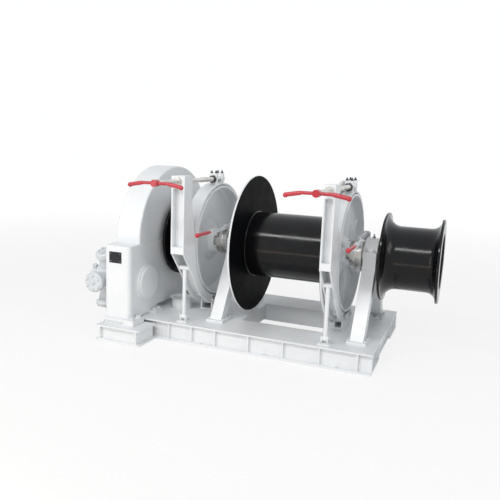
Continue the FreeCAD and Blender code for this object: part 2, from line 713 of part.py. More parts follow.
# ---------------------------------------------------------------------------------------------
# Shaft line
# ---------------------------------------------------------------------------------------------
def main_shaft():
    """The driven shaft, with feather keys under each clutch sleeve."""
    start = at.case_right - d.shaft_pocket + d.case_gap / 4
    head_end = at.head_right - d.head_recess
    bar = turned("shaft_bar", [
        (start, 0), (start, d.shaft_radius), (at.head_left, d.shaft_radius),
        (at.head_left, d.head_shaft_radius), (head_end, d.head_shaft_radius), (head_end, 0)],
        (0, 0, SHAFT_Z))
    pieces = [bar]
    for side, face in (("left", at.left_wheel_right), ("right", at.right_wheel_right)):
        first = face + d.jaw_gap
        reach = d.shaft_radius + d.key_height
        last = face + d.jaw_length + d.sleeve_length
        pieces.append(box("key_%s_upright" % side, first, last, -d.key_width / 2, d.key_width / 2,
                          SHAFT_Z - reach, SHAFT_Z + reach))
        pieces.append(box("key_%s_level" % side, first, last, -reach, reach,
                          SHAFT_Z - d.key_width / 2, SHAFT_Z + d.key_width / 2))
    return fused("main_shaft", pieces)


def warping_head():
    """The rope-hauling head: barrel with a horn at each end, hollowed at its outer end."""
    rim, long, barrel = d.head_rim, d.head_length, d.head_barrel_radius
    inner, outer = d.head_inner_radius, d.head_outer_radius
    inner_horn, outer_horn = inner - barrel, outer - barrel
    bore, hub = d.head_shaft_radius + d.running_clearance, d.head_hub_radius
    recess = long - d.head_recess
    return turned("warping_head", [
        (0, bore), (recess, bore), (recess, hub), (recess - d.head_wall, hub + d.head_wall),
        (recess - d.head_wall, d.head_recess_radius), (recess, d.head_recess_radius + d.head_step),
        (long, d.head_recess_radius + d.head_lip), (long, outer - d.rim_chamfer),
        (long - d.rim_chamfer, outer), (long - rim, outer),
        Arc((long - rim - outer_horn, barrel), (long - rim - outer_horn, outer), clockwise=True),
        (rim + inner_horn, barrel), Arc((rim, inner), (rim + inner_horn, inner), clockwise=True),
        (d.rim_chamfer, inner), (0, inner - d.rim_chamfer)], (at.head_left, 0, SHAFT_Z))


def head_nut():
    return turned("head_nut", [
        (0, 0), (0, d.head_nut_radius), (d.head_nut_length - d.nut_chamfer, d.head_nut_radius),
        (d.head_nut_length, d.head_nut_radius - d.nut_chamfer), (d.head_nut_length, 0)],
        (at.head_right - d.head_recess, 0, SHAFT_Z))


def drum_flange(name, inner_face, outward):
    """A rope flange with a rounded rim and the drum's bearing hub inside the barrel."""
    bore = d.shaft_radius + d.running_clearance
    thick, rim = d.flange_thickness * outward, d.rim_radius * outward
    hub, low = -d.drum_hub_length * outward, d.flange_radius - d.rim_radius
    return turned(name, [
        (hub, bore), (hub, d.drum_hub_radius), (0, d.drum_hub_radius), (0, low),
        Arc((rim, d.flange_radius), (rim, low), clockwise=outward > 0), (thick - rim, d.flange_radius),
        Arc((thick, low), (thick - rim, low), clockwise=outward > 0), (thick, bore)],
        (inner_face, 0, SHAFT_Z))


def rope_barrel():
    inner = d.barrel_radius - d.barrel_wall
    return turned("rope_barrel", [
        (0, inner), (d.drum_length, inner), (d.drum_length, d.barrel_radius), (0, d.barrel_radius)],
        (at.drum_left, 0, SHAFT_Z))


def add_jaws(body, start, toward, turn):
    """Four clutch teeth on a hub face, toward is the way they stand out along X."""
    inner, outer = d.shaft_radius + d.key_height + d.jaw_relief, d.jaw_radius
    first, last = turn - d.jaw_angle / 2, turn + d.jaw_angle / 2
    sketch = add_sketch(body, "YZ", [[
        polar(inner, first), polar(outer, first), Arc(polar(outer, last), (0, 0)), polar(inner, last),
        Arc(polar(inner, first), (0, 0), clockwise=True)]], offset=start)
    jaw = add_pad(body, sketch, d.jaw_length, back=toward < 0)
    return add_ring_of(body, jaw, d.jaw_count)


def brake_wheel_left():
    """A dished wheel: rim, web on its inner side and a hub with clutch teeth."""
    wide, web = d.left_wheel_width, d.wheel_web
    bore = d.shaft_radius + d.running_clearance
    inner = d.wheel_radius - d.wheel_rim
    root_x = wide - d.jaw_gap - d.jaw_length
    body = new_body("brake_wheel_left", at.left_wheel_left, 0, SHAFT_Z)
    add_turn(body, add_sketch(body, "XZ", [[
        (0, bore), (root_x, bore), (root_x, d.jaw_radius), (web + d.wheel_dish, d.jaw_radius + d.hub_taper),
        (web, d.wheel_hub_radius + d.wheel_dish), (web, inner - d.wheel_fillet),
        (web + d.wheel_fillet, inner), (wide, inner),
        (wide, d.wheel_radius), (0, d.wheel_radius)]]), "H_Axis")
    add_jaws(body, root_x, 1, 45)
    return body


def brake_wheel_right():
    """A rim on the drum flange, with ribs to a hub that has clutch teeth."""
    wide = d.right_wheel_width
    bore = d.shaft_radius + d.running_clearance
    inner = d.wheel_radius - d.wheel_rim
    root_x, back = wide - d.jaw_gap - d.jaw_length, d.web_back
    body = new_body("wheel_right_body", at.right_wheel_left, 0, SHAFT_Z)
    add_turn(body, add_sketch(body, "XZ", [[
        (0, bore), (root_x, bore), (root_x, d.jaw_radius), (back, d.wheel_hub_radius), (back, inner - back),
        (back * 2, inner), (wide, inner), (wide, d.wheel_radius), (0, d.wheel_radius)]]), "H_Axis")
    rib_inner, rib_outer = d.jaw_radius + d.rib_rise, inner + d.wheel_rim / 2
    rib = add_pad(body, add_sketch(body, "XZ", [[
        (back / 2, rib_inner + d.rib_low), (root_x - d.rib_inset, rib_inner), (wide / 2, rib_outer),
        (back / 2, rib_outer)]]), d.wheel_rib, middle=True)
    add_ring_of(body, rib, d.wheel_rib_count)
    add_jaws(body, root_x, 1, 45)
    return body


def clutch_sleeve(name, wheel_face):
    """The sliding half of a jaw clutch, with a groove for the lever's fork."""
    bore = d.shaft_radius + d.running_clearance
    start, long = d.jaw_length, d.sleeve_length
    mid = start + long / 2
    low = d.jaw_radius - d.groove_depth
    body = new_body(name + "_body", wheel_face, 0, SHAFT_Z)
    add_turn(body, add_sketch(body, "XZ", [[
        (start, bore), (start + long, bore), (start + long, d.jaw_radius - d.sleeve_chamfer),
        (start + long - d.sleeve_chamfer, d.jaw_radius), (mid + d.groove_width / 2, d.jaw_radius),
        (mid + d.groove_width / 2, low), (mid - d.groove_width / 2, low),
        (mid - d.groove_width / 2, d.jaw_radius), (start, d.jaw_radius)]]), "H_Axis")
    add_jaws(body, start, -1, 0)
    reach = d.shaft_radius + d.key_height + d.seat_gap
    half = d.key_width / 2 + d.seat_gap
    slots = [
        box(name + "_slot_upright", wheel_face - 1, wheel_face + start + long + 1, -half, half,
            SHAFT_Z - reach, SHAFT_Z + reach),
        box(name + "_slot_level", wheel_face - 1, wheel_face + start + long + 1, -reach, reach,
            SHAFT_Z - half, SHAFT_Z + half)]
    return cut(name, body, slots)


def cable_lifter():
    """The chain wheel: two rims, a groove for upright links and pockets for flat ones."""
    long, rim, outer, edge = d.lifter_length, d.lifter_rim, d.lifter_radius, d.rim_chamfer
    bore = d.shaft_radius + d.running_clearance
    throat_a, throat_b = (long - d.throat_width) / 2, (long + d.throat_width) / 2
    groove_a, groove_b = (long - d.chain_groove) / 2, (long + d.chain_groove) / 2
    body = new_body("cable_lifter", at.lifter_left, 0, SHAFT_Z)
    add_turn(body, add_sketch(body, "XZ", [[
        (0, bore), (long + d.lifter_gap, bore), (long + d.lifter_gap, d.lifter_hub_radius),
        (long, d.lifter_hub_radius), (long, outer - edge), (long - edge, outer), (long - rim, outer),
        (throat_b, d.throat_radius), (groove_b, d.throat_radius), (groove_b, d.chain_groove_radius),
        (groove_a, d.chain_groove_radius), (groove_a, d.throat_radius), (throat_a, d.throat_radius),
        (rim, outer), (edge, outer), (0, outer - edge)]]), "H_Axis")
    half_x, half_y = d.pocket_width / 2, d.pocket_length / 2
    mid, straight = long / 2, half_y - half_x
    sketch = add_sketch(body, "XY", [[
        (mid + half_x, -straight), (mid + half_x, straight), Arc((mid - half_x, straight), (mid, straight)),
        (mid - half_x, -straight), Arc((mid + half_x, -straight), (mid, -straight))]], offset=d.pocket_floor)
    pocket = body.newObject("PartDesign::Pocket", "lifter_pocket")
    pocket.Profile = sketch
    bind(pocket, "Length", outer)
    pocket.Reversed = True
    add_ring_of(body, pocket, d.pocket_count)
    return body


def build_shaft_line():
    node("main_shaft", main_shaft())
    node("warping_head", warping_head())
    node("head_nut", head_nut())
    node("rope_barrel", rope_barrel())
    node("drum_flange_left", drum_flange("drum_flange_left", at.drum_left, -1))
    node("drum_flange_right", drum_flange("drum_flange_right", at.drum_right, 1))
    node("cable_lifter", cable_lifter())
    node("brake_wheel_left", brake_wheel_left())
    node("brake_wheel_right", brake_wheel_right())
    for side, face in (("left", at.left_wheel_right), ("right", at.right_wheel_right)):
        node("clutch_sleeve_" + side, clutch_sleeve("clutch_sleeve_" + side, face))


# ---------------------------------------------------------------------------------------------
# Clutch levers
# ---------------------------------------------------------------------------------------------
def build_lever(side, wheel_face):
    """A hand lever on an upright pin behind the shaft, with a fork arm above and below the sleeve."""
    name = "clutch_lever_" + side
    x, y = lever_x(wheel_face), d.lever_arm
    half, bar = d.lever_bar / 2, d.lever_bar
    top = SHAFT_Z + d.jaw_radius + d.fork_gap
    low = SHAFT_Z - d.jaw_radius - d.fork_gap - bar
    pin_long = d.fork_gap + d.groove_depth - d.fork_pin_play
    front = d.grip_length - d.lever_reach
    bend, set_y, aside = -d.lever_bend_start, -d.lever_bend_end, d.lever_set
    pieces = [
        rod(name + "_boss", d.lever_boss_radius, top + bar - low, x, y, low),
        padded(name + "_upper", "XY", [
            (half, y), (-half, y), (-half, bend), (aside - half, set_y), (aside - half, front),
            (aside + half, front), (aside + half, set_y), (half, bend)], bar, (x, 0, top)),
        box(name + "_lower", x - half, x + half, -half, y, low, low + bar),
        rod(name + "_upper_pin", d.fork_pin_radius, pin_long, x, 0, top - pin_long),
        rod(name + "_lower_pin", d.fork_pin_radius, pin_long, x, 0, low + bar),
    ]
    hole = rod(name + "_hole", d.lever_pin_radius + d.running_clearance, (top + bar - low) * 2, x, y,
               low - (top + bar - low) / 2)
    node(name, cut(name, fused(name + "_solid", pieces), [hole]))
    thin, thick, long = d.grip_radius * 0.75, d.grip_radius, d.grip_length
    node("lever_grip_" + side, turned("lever_grip_" + side, [
        (0, 0), (0, thin), (-long * 0.25, thick), (-long + thick, thick), (-long + thick * 0.3, thick * 0.7),
        (-long, 0)], (x + aside, front, top + half), "YZ", "H_Axis"))


# ---------------------------------------------------------------------------------------------
# Band brakes
# ---------------------------------------------------------------------------------------------
class Brake:
    """One band brake, built round the wheel whose middle is at X mid."""

    def __init__(self, side, left, right):
        self.side = side
        self.mid = (left + right) / 2
        self.half = (right - left) / 2 - d.band_margin
        self.eye_half = self.half - d.anchor_ear - d.seat_gap
        self.spot = (self.mid, 0, SHAFT_Z)

    def name(self, words):
        return "%s_%s" % (words, self.side)

    def band(self, name, start, end, front):
        """A strip of band between two angles, with a lug at its top."""
        sector = padded(name + "_strip", "YZ", [
            polar(BAND_INNER, start), polar(BAND_OUTER, start), Arc(polar(BAND_OUTER, end), (0, 0)),
            polar(BAND_INNER, end), Arc(polar(BAND_INNER, start), (0, 0), clockwise=True)],
            self.half * 2, self.spot, middle=True)
        near = d.lug_spread
        y0, y1 = (-near - d.band_lug, -near) if front else (near, near + d.band_lug)
        lug = box(name + "_lug", self.mid - d.lug_width / 2, self.mid + d.lug_width / 2, y0, y1,
                  SHAFT_Z + BAND_OUTER - d.lug_sink, SHAFT_Z + BAND_OUTER + d.lug_height)
        return [sector, lug]

    def spindle_hole(self, name, y0, y1):
        return rod(name, d.spindle_radius + d.running_clearance, y1 - y0, self.mid, y0,
                   SHAFT_Z + d.spindle_rise, "Y")

    def eye(self, name, y, half):
        """A round eye on an anchor pin."""
        return rod(name, d.eye_radius, half * 2, self.mid - half, y, ANCHOR_Z, "X")

    def pin_hole(self, name, y):
        return rod(name, d.anchor_pin + d.running_clearance, self.half * 4, self.mid - self.half * 2, y,
                   ANCHOR_Z, "X")

    def build_bands(self):
        top = length(90)
        foot = length(270)
        name = self.name("front_band")
        pieces = self.band(name, top + d.band_opening / 4, foot - d.band_foot_angle, True)
        node(name, cut(name, fused(name + "_solid", pieces),
                       [self.spindle_hole(name + "_hole", -d.flange_radius, -d.lug_spread + 1)]))
        name = self.name("back_band")
        pieces = self.band(name, foot + d.band_foot_angle - 360, top - d.band_opening / 4, False)
        eye = self.eye(name + "_eye", d.anchor_half, self.eye_half)
        shoe = box(name + "_shoe", self.mid - self.eye_half, self.mid + self.eye_half,
                   d.anchor_half - d.eye_radius / 2, d.anchor_half + d.eye_radius / 2,
                   ANCHOR_Z, SHAFT_Z - BAND_INNER + 4)
        wheel_room = rod(name + "_room", BAND_INNER, self.half * 4, self.mid - self.half * 2, 0,
                         SHAFT_Z, "X")
        node(name, cut(name, fused(name + "_solid", pieces + [eye, shoe]), [
            self.spindle_hole(name + "_hole", d.lug_spread - 1, d.flange_radius),
            self.pin_hole(name + "_pin_hole", d.anchor_half), wheel_room]))

    def side_plate(self, name, x):
        """One cheek of the frame: an upright post that runs into a tail along the band."""
        land = BAND_OUTER + d.seat_gap
        meet = root(land * land - d.frame_land * d.frame_land)
        tail_y, tail_z = polar(land, 270 - d.tail_foot_angle)
        end_y, end_z = polar(d.tail_radius, 270 - d.tail_foot_angle)
        knee_z = -root(d.tail_radius * d.tail_radius - d.frame_knee * d.frame_knee)
        return padded(name, "YZ", [
            (-d.post_front, d.post_top), (-d.post_front, d.post_bottom), (-d.frame_knee, knee_z),
            Arc((end_y, end_z), (0, 0)), (tail_y, tail_z),
            Arc((-meet, d.frame_land), (0, 0), clockwise=True), (-d.post_back, d.post_waist),
            (-d.post_back, d.post_top)], d.frame_plate, (x, 0, SHAFT_Z))

    def tail_strip(self, name, first, last, thick, half):
        """A strip of the tail below the band, first and last are angles from straight down."""
        inner = BAND_OUTER + d.seat_gap
        start, end = 270 - first, 270 - last
        return padded(name, "YZ", [
            polar(inner, start), polar(inner + thick, start), Arc(polar(inner + thick, end), (0, 0)),
            polar(inner, end), Arc(polar(inner, start), (0, 0), clockwise=True)],
            half * 2, self.spot, middle=True)

    def build_frame(self):
        """Two cheeks joined by a set-back web, a top block and an anchor eye."""
        name = self.name("brake_frame")
        left, right = self.mid - self.half, self.mid + self.half
        z = SHAFT_Z
        front = -d.post_front + d.web_recess
        pieces = [
            self.side_plate(name + "_cheek_left", left),
            self.side_plate(name + "_cheek_right", right - d.frame_plate),
            box(name + "_web", left, right, front, front + d.frame_plate, z + d.post_bottom,
                z + d.post_top),
            box(name + "_head", left, right, -d.post_front, -d.post_back, z + d.post_top - d.web_recess * 2,
                z + d.post_top),
            box(name + "_sill", left, right, -d.post_front, front + d.frame_plate,
                z + d.post_bottom - d.sill_drop, z + d.post_bottom + d.web_recess),
        ]
        tail = self.tail_strip(name + "_tail", d.tail_start_angle, d.tail_foot_angle, d.frame_plate,
                               self.half)
        tongue = self.tail_strip(name + "_tongue", d.tail_foot_angle * 2, d.band_foot_angle,
                                 d.frame_plate * 2, self.eye_half)
        eye = self.eye(name + "_eye", -d.anchor_half, self.eye_half)
        band_room = rod(name + "_room", BAND_OUTER + d.seat_gap, self.half * 4, self.mid - self.half * 2,
                        0, z, "X")
        node(name, cut(name, fused(name + "_solid", pieces + [tail, tongue, eye]), [
            self.spindle_hole(name + "_hole", -d.post_front - 1, -d.post_back + 1),
            self.pin_hole(name + "_pin_hole", -d.anchor_half), band_room]))

    def build_anchor(self):
        """The deck bracket with one pin for each half of the band."""
        name = self.name("brake_anchor")
        gap = self.half - d.anchor_ear
        deck_z = d.deck_height
        reach, tall = d.anchor_half + d.eye_radius + d.ear_margin, ANCHOR_Z + d.anchor_land - deck_z
        pieces = [box(name + "_base", self.mid - gap - d.anchor_ear, self.mid + gap + d.anchor_ear,
                      -reach, reach, deck_z, deck_z + d.anchor_base)]
        for mark, x in (("left", self.mid - gap - d.anchor_ear), ("right", self.mid + gap)):
            pieces.append(padded(name + "_ear_" + mark, "YZ", [
                (-reach, 0), (reach, 0), (reach - d.ear_taper, tall), (-reach + d.ear_taper, tall)],
                d.anchor_ear, (x, 0, deck_z)))
        for mark, y in (("front", -d.anchor_half), ("back", d.anchor_half)):
            pieces.append(rod(name + "_pin_" + mark, d.anchor_pin, self.half * 2 + d.pin_proud * 2,
                              self.mid - self.half - d.pin_proud, y, ANCHOR_Z, "X"))
        node(name, fused(name, pieces))

    def build_strut(self):
        """The slim strut that props the frame, on a clevis foot."""
        name = self.name("brake_strut")
        y, deck_z = d.strut_inset - d.base_width / 2, d.deck_height
        half, ear, fork = d.strut_foot / 2, d.strut_ear_half, d.strut_fork_half
        wide = fork + d.strut_ear
        top, pin_z = SHAFT_Z - d.strut_top, deck_z + d.strut_pin_rise
        pieces = [
            box(name + "_foot", self.mid - half, self.mid + half, y - half, y + half, deck_z,
                deck_z + d.strut_plate),
            box(name + "_ear_left", self.mid - wide, self.mid - fork, y - ear, y + ear, deck_z,
                deck_z + d.strut_ear_height),
            box(name + "_ear_right", self.mid + fork, self.mid + wide, y - ear, y + ear, deck_z,
                deck_z + d.strut_ear_height),
            rod(name + "_pin", d.strut_pin, (wide + d.strut_pin_proud) * 2,
                self.mid - wide - d.strut_pin_proud, y, pin_z, "X"),
            rod(name + "_eye", d.strut_eye_radius, fork * 2, self.mid - fork, y, pin_z, "X"),
            rod(name + "_bar", d.strut_radius, top - pin_z, self.mid, y, pin_z),
            rod(name + "_top_eye", d.strut_eye_radius, self.half * 2 - d.frame_plate * 2,
                self.mid - self.half + d.frame_plate, y, top, "X"),
        ]
        node(name, fused(name, pieces))

    def build_spindle(self):
        """The screw spindle with its collar and nut."""
        name = self.name("brake_spindle")
        z = SHAFT_Z + d.spindle_rise
        pieces = [
            rod(name + "_bar", d.spindle_radius, d.spindle_front + d.spindle_back, self.mid,
                -d.spindle_front, z, "Y"),
            rod(name + "_collar", d.collar_radius, d.collar_length, self.mid,
                -d.post_front - d.seat_gap - d.collar_length, z, "Y"),
            rod(name + "_nut", d.collar_radius, d.collar_length, self.mid,
                d.lug_spread + d.band_lug + d.seat_gap, z, "Y"),
        ]
        node(name, fused(name, pieces))

    def handle_arm(self, name, y, z):
        """Half of the handle: a bar that bends down to a thicker grip."""
        straight = d.tbar_length / 2 - d.tbar_grip_length
        bend, droop = d.tbar_bend_radius, d.tbar_droop
        end_x, end_z = straight + bend * sine(droop), bend * cosine(droop) - bend
        body = new_body(name, self.mid, y, z)
        path = body.newObject("Sketcher::SketchObject", name + "_path")
        path.AttachmentSupport = [(origin_part(body, "XZ_Plane"), "")]
        path.MapMode = "FlatFace"
        draw_path(path, [(0, 0), (straight, 0), Arc((end_x, end_z), (straight, -bend), clockwise=True)])
        pipe = body.newObject("PartDesign::AdditivePipe", name + "_pipe")
        pipe.Profile = add_sketch(body, "YZ", circles=[(0, 0, d.tbar_radius)])
        pipe.Spine = path
        body.Tip = pipe
        thick, long, edge = d.tbar_grip_radius, d.tbar_grip_length, d.tbar_chamfer
        grip = turned(name + "_grip", [
            (-edge, 0), (-edge, thick - edge / 2), (thick, thick), (long - thick, thick),
            (long - edge, thick - edge), (long, 0)], (self.mid + end_x, y, z + end_z))
        grip.Placement.Rotation = FreeCAD.Rotation(FreeCAD.Vector(0, 1, 0), droop.value)
        bind(grip, "Placement.Rotation.Angle", droop)
        return [body, grip]

    def build_handle(self):
        """The double-armed handle on the spindle's front end."""
        name = self.name("brake_handle")
        z, hub_y = SHAFT_Z + d.spindle_rise, -d.spindle_front - d.tbar_hub_length
        arm = fused(name + "_arm", self.handle_arm(name + "_half", hub_y + d.tbar_hub_length / 2, z))
        other = doc.addObject("Part::Mirroring", name + "_other_arm")
        other.Source = arm
        other.Normal = FreeCAD.Vector(1, 0, 0)
        bind(other, "Base.x", self.mid)
        hub = rod(name + "_hub", d.tbar_hub_radius, d.tbar_hub_length, self.mid, hub_y, z, "Y")
        node(name, fused(name, [arm, other, hub]))

    def build(self):
        self.build_frame()
        self.build_bands()
        self.build_anchor()
        self.build_strut()
        self.build_spindle()
        self.build_handle()


# ---------------------------------------------------------------------------------------------
# Assembly and export
# ---------------------------------------------------------------------------------------------
def check(thing):
    """Stop on a failed feature or an empty or invalid shape."""
    if thing.Shape.isNull() or not thing.Shape.isValid() or not thing.Shape.Solids:
        raise RuntimeError("bad shape: " + thing.Label)


def export():
    doc.recompute()
    for thing in doc.Objects:
        if {"Invalid", "Error"} & set(thing.State):
            raise RuntimeError("failed feature: %s %s" % (thing.Name, thing.State))
    for thing in nodes:
        check(thing)
    os.makedirs("parts", exist_ok=True)
    for thing in nodes:
        thing.Shape.exportStep("parts/%s.step" % thing.Label)


build_base()
build_gear_end()
build_stands()
build_chain_pipe()
build_shaft_line()
build_lever("left", at.left_wheel_right)
build_lever("right", at.right_wheel_right)
Brake("left", at.left_wheel_left, at.left_wheel_right).build()
Brake("right", at.right_wheel_left, at.right_wheel_right).build()
export()
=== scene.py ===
"""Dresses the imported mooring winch: paint, bare steel, fasteners and brake linings round the fixed frame.

Frame of the scene: metres, +X along the shaft from the gear case to the warping head, +Z up, with
the origin in the middle of the base frame's footprint. Every place is worked out from the boxes of
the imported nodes. The lengths that a fitting adds are fields of its class or named beside it.
"""

import logging
import math
import random
from contextlib import contextmanager
from dataclasses import dataclass
from enum import Enum
from typing import Callable, Iterable, Iterator, Sequence, Union

import bpy
from mathutils import Matrix, Vector


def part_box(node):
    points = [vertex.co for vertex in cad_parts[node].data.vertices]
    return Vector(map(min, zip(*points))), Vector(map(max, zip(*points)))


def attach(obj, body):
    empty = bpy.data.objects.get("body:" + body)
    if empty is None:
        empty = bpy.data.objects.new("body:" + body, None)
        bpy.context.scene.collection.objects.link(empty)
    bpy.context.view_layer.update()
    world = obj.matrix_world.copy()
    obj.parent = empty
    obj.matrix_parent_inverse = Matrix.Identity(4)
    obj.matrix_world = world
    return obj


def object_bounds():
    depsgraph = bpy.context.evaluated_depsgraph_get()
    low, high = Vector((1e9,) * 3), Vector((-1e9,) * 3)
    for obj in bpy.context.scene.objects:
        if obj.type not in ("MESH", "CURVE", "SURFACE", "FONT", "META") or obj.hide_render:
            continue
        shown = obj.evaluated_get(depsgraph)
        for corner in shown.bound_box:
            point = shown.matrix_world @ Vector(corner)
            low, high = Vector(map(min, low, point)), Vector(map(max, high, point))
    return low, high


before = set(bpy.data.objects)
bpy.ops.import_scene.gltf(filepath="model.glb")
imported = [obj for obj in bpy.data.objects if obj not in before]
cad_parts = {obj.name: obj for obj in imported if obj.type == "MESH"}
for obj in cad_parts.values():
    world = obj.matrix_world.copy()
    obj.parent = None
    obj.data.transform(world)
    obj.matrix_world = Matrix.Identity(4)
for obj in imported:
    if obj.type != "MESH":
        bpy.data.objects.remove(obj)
CAD_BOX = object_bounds()

LOG = logging.getLogger("winch")

Color = tuple[float, float, float, float]
Feed = Union[float, Color, bpy.types.NodeSocket]
Spot = tuple[float, float, float]

ALONG_X = Vector((1.0, 0.0, 0.0))
ALONG_Y = Vector((0.0, 1.0, 0.0))
ALONG_Z = Vector((0.0, 0.0, 1.0))


class Slot(Enum):
    """The record's material slots."""

    WHITE = "white_paint"
    BLACK = "black_paint"
    RED = "red_paint"
    STEEL = "machined_steel"
    MOTOR = "motor_paint"


class Side(Enum):
    """The two brakes and clutches along the shaft."""

    LEFT = "left"
    RIGHT = "right"


class Axis(Enum):
    """The line that a turned surface was cut round."""

    X = 0
    Y = 1
    Z = 2


# ---- Node trees ----
class NodeKit:
    """Draws nodes into one tree."""

    def __init__(self, tree: bpy.types.NodeTree) -> None:
        """Keep the tree to draw in."""
        self.tree = tree

    def add(self, kind: str, feeds: dict[Union[str, int], Feed] | None = None,
            **settings: object) -> bpy.types.Node:
        """Add one node.

        Args:
            kind: the node's type, without its ShaderNode prefix.
            feeds: what goes into its inputs, a value or another node's output.
            settings: the node's own options, set before its inputs.

        Returns:
            The new node.
        """
        node = self.tree.nodes.new(kind if kind.startswith("Node") else "ShaderNode" + kind)
        for name, value in settings.items():
            setattr(node, name, value)
        for key, value in (feeds or {}).items():
            self.feed(node.inputs[key], value)
        return node

    def feed(self, socket: bpy.types.NodeSocket, value: Feed) -> None:
        """Link an output to an input, or set the input's own value."""
        if isinstance(value, bpy.types.NodeSocket):
            self.tree.links.new(value, socket)
        else:
            socket.default_value = value

    def noise(self, place: Feed, scale: float, detail: float = 2.0) -> bpy.types.NodeSocket:
        """A noise value about one half."""
        return self.add("TexNoise", {"Vector": place, "Scale": scale, "Detail": detail}).outputs[0]

    def spread(self, value: Feed, low: float, high: float, start: Feed = 0.0,
               end: Feed = 1.0) -> bpy.types.NodeSocket:
        """Stretch the range from low to high over start to end, and hold it there outside."""
        return self.add("MapRange", {"Value": value, "From Min": low, "From Max": high,
                                     "To Min": start, "To Max": end}).outputs[0]

    def work(self, operation: str, first: Feed, second: Feed = 0.0) -> bpy.types.NodeSocket:
        """One step of arithmetic."""
        return self.add("Math", {0: first, 1: second}, operation=operation).outputs[0]

    def mix(self, share: Feed, first: Feed, second: Feed, blend: str = "MIX") -> bpy.types.NodeSocket:
        """Lay the second colour over the first."""
        return self.add("Mix", {0: share, 6: first, 7: second}, data_type="RGBA",
                        blend_type=blend).outputs[2]

    def place(self) -> bpy.types.NodeSocket:
        """The object's own coordinates, in metres."""
        return self.add("TexCoord").outputs["Object"]


class SharedGroup:
    """A node group with named inputs and outputs that several materials place."""

    KINDS = {"Color": "NodeSocketColor", "Normal": "NodeSocketVector"}

    def __init__(self, name: str, inputs: dict[str, Feed], outputs: Sequence[str]) -> None:
        """Make an empty group.

        Args:
            name: the group's name.
            inputs: each input's name and first value.
            outputs: each output's name.
        """
        self.tree = bpy.data.node_groups.new(name, "ShaderNodeTree")
        for label, start in inputs.items():
            socket = self.tree.interface.new_socket(name=label, in_out="INPUT", socket_type=self.kind(label))
            socket.default_value = start
        for label in outputs:
            self.tree.interface.new_socket(name=label, in_out="OUTPUT", socket_type=self.kind(label))
        self.kit = NodeKit(self.tree)
        self.given = self.kit.add("NodeGroupInput").outputs
        self.result = self.kit.add("NodeGroupOutput").inputs

    def kind(self, label: str) -> str:
        """The socket type that goes with the last word of a name."""
        return self.KINDS.get(label.split()[-1], "NodeSocketFloat")

    def use(self, kit: NodeKit, **feeds: Feed) -> dict[str, bpy.types.NodeSocket]:
        """Place the group in a material.

        Args:
            kit: the material's own nodes.
            feeds: the group's inputs, with underscores for spaces.

        Returns:
            The outputs by name.
        """
        named = {key.replace("_", " "): value for key, value in feeds.items()}
        return dict(kit.add("Group", named, node_tree=self.tree).outputs.items())


def edge_group() -> SharedGroup:
    """Rounds sharp edges to the eye and marks where paint has worn thin on them."""
    group = SharedGroup("worn_edges", {"Radius": 0.003, "Patches": 14.0}, ("Mask", "Normal"))
    kit = group.kit
    bevel = kit.add("Bevel", {"Radius": group.given["Radius"]}, samples=4)
    flat = kit.add("NewGeometry").outputs["Normal"]
    turn = kit.add("VectorMath", {0: bevel.outputs[0], 1: flat}, operation="DOT_PRODUCT").outputs["Value"]
    edge = kit.spread(turn, 0.985, 0.82)
    patch = kit.spread(kit.noise(kit.place(), group.given["Patches"], 6.0), 0.48, 0.62)
    kit.feed(group.result["Mask"], kit.work("MULTIPLY", edge, patch))
    kit.feed(group.result["Normal"], bevel.outputs[0])
    return group


def film_group() -> SharedGroup:
    """A sprayed coat: slow changes of shade and gloss, plate waviness and orange peel."""
    inputs = {"Base Color": (0.8, 0.8, 0.8, 1.0), "Shade Color": (0.9, 0.9, 0.9, 1.0),
              "Variation": 0.3, "Roughness": 0.4, "Peel": 220.0}
    group = SharedGroup("sprayed_coat", inputs, ("Color", "Roughness", "Height"))
    kit = group.kit
    spot = kit.place()
    cloud = kit.spread(kit.noise(spot, 2.6, 5.0), 0.34, 0.66)
    speck = kit.noise(spot, 46.0, 4.0)
    share = kit.work("MULTIPLY", kit.work("MULTIPLY", cloud, kit.spread(speck, 0.25, 0.75, 0.6, 1.0)),
                     group.given["Variation"])
    kit.feed(group.result["Color"],
             kit.mix(share, group.given["Base Color"], group.given["Shade Color"], "MULTIPLY"))
    gloss = kit.spread(kit.noise(spot, 9.0, 3.0), 0.3, 0.7, -0.05, 0.07)
    kit.feed(group.result["Roughness"], kit.work("ADD", group.given["Roughness"], gloss))
    peel = kit.noise(spot, group.given["Peel"], 1.0)
    wave = kit.work("MULTIPLY", kit.noise(spot, 7.0, 1.0), 3.0)
    kit.feed(group.result["Height"], kit.work("ADD", peel, wave))
    return group


def dust_group() -> SharedGroup:
    """Dust that settles on what faces up, thickest in drifts."""
    group = SharedGroup("settled_dust", {"Amount": 0.2}, ("Mask",))
    kit = group.kit
    up = kit.add("SeparateXYZ", {0: kit.add("NewGeometry").outputs["Normal"]}).outputs["Z"]
    lie = kit.spread(up, 0.45, 0.95)
    drift = kit.spread(kit.noise(kit.place(), 6.0, 7.0), 0.35, 0.7, 0.25, 1.0)
    settled = kit.work("MULTIPLY", lie, drift)
    kit.feed(group.result["Mask"], kit.work("MULTIPLY", settled, group.given["Amount"]))
    return group


def turned_group() -> SharedGroup:
    """Fine rings that a lathe tool leaves, as a tone and a height along one coordinate."""
    group = SharedGroup("turned_rings", {"Along": 0.0, "Pitch": 900.0}, ("Tone", "Height"))
    kit = group.kit
    station = kit.work("MULTIPLY", group.given["Along"], group.given["Pitch"])
    line = kit.add("CombineXYZ", {"X": station}).outputs[0]
    rings = kit.noise(line, 1.0, 3.0)
    broad = kit.noise(kit.place(), 16.0, 4.0)
    kit.feed(group.result["Tone"], kit.work("MULTIPLY", rings, kit.spread(broad, 0.3, 0.7, 0.7, 1.2)))
    kit.feed(group.result["Height"], rings)
    return group


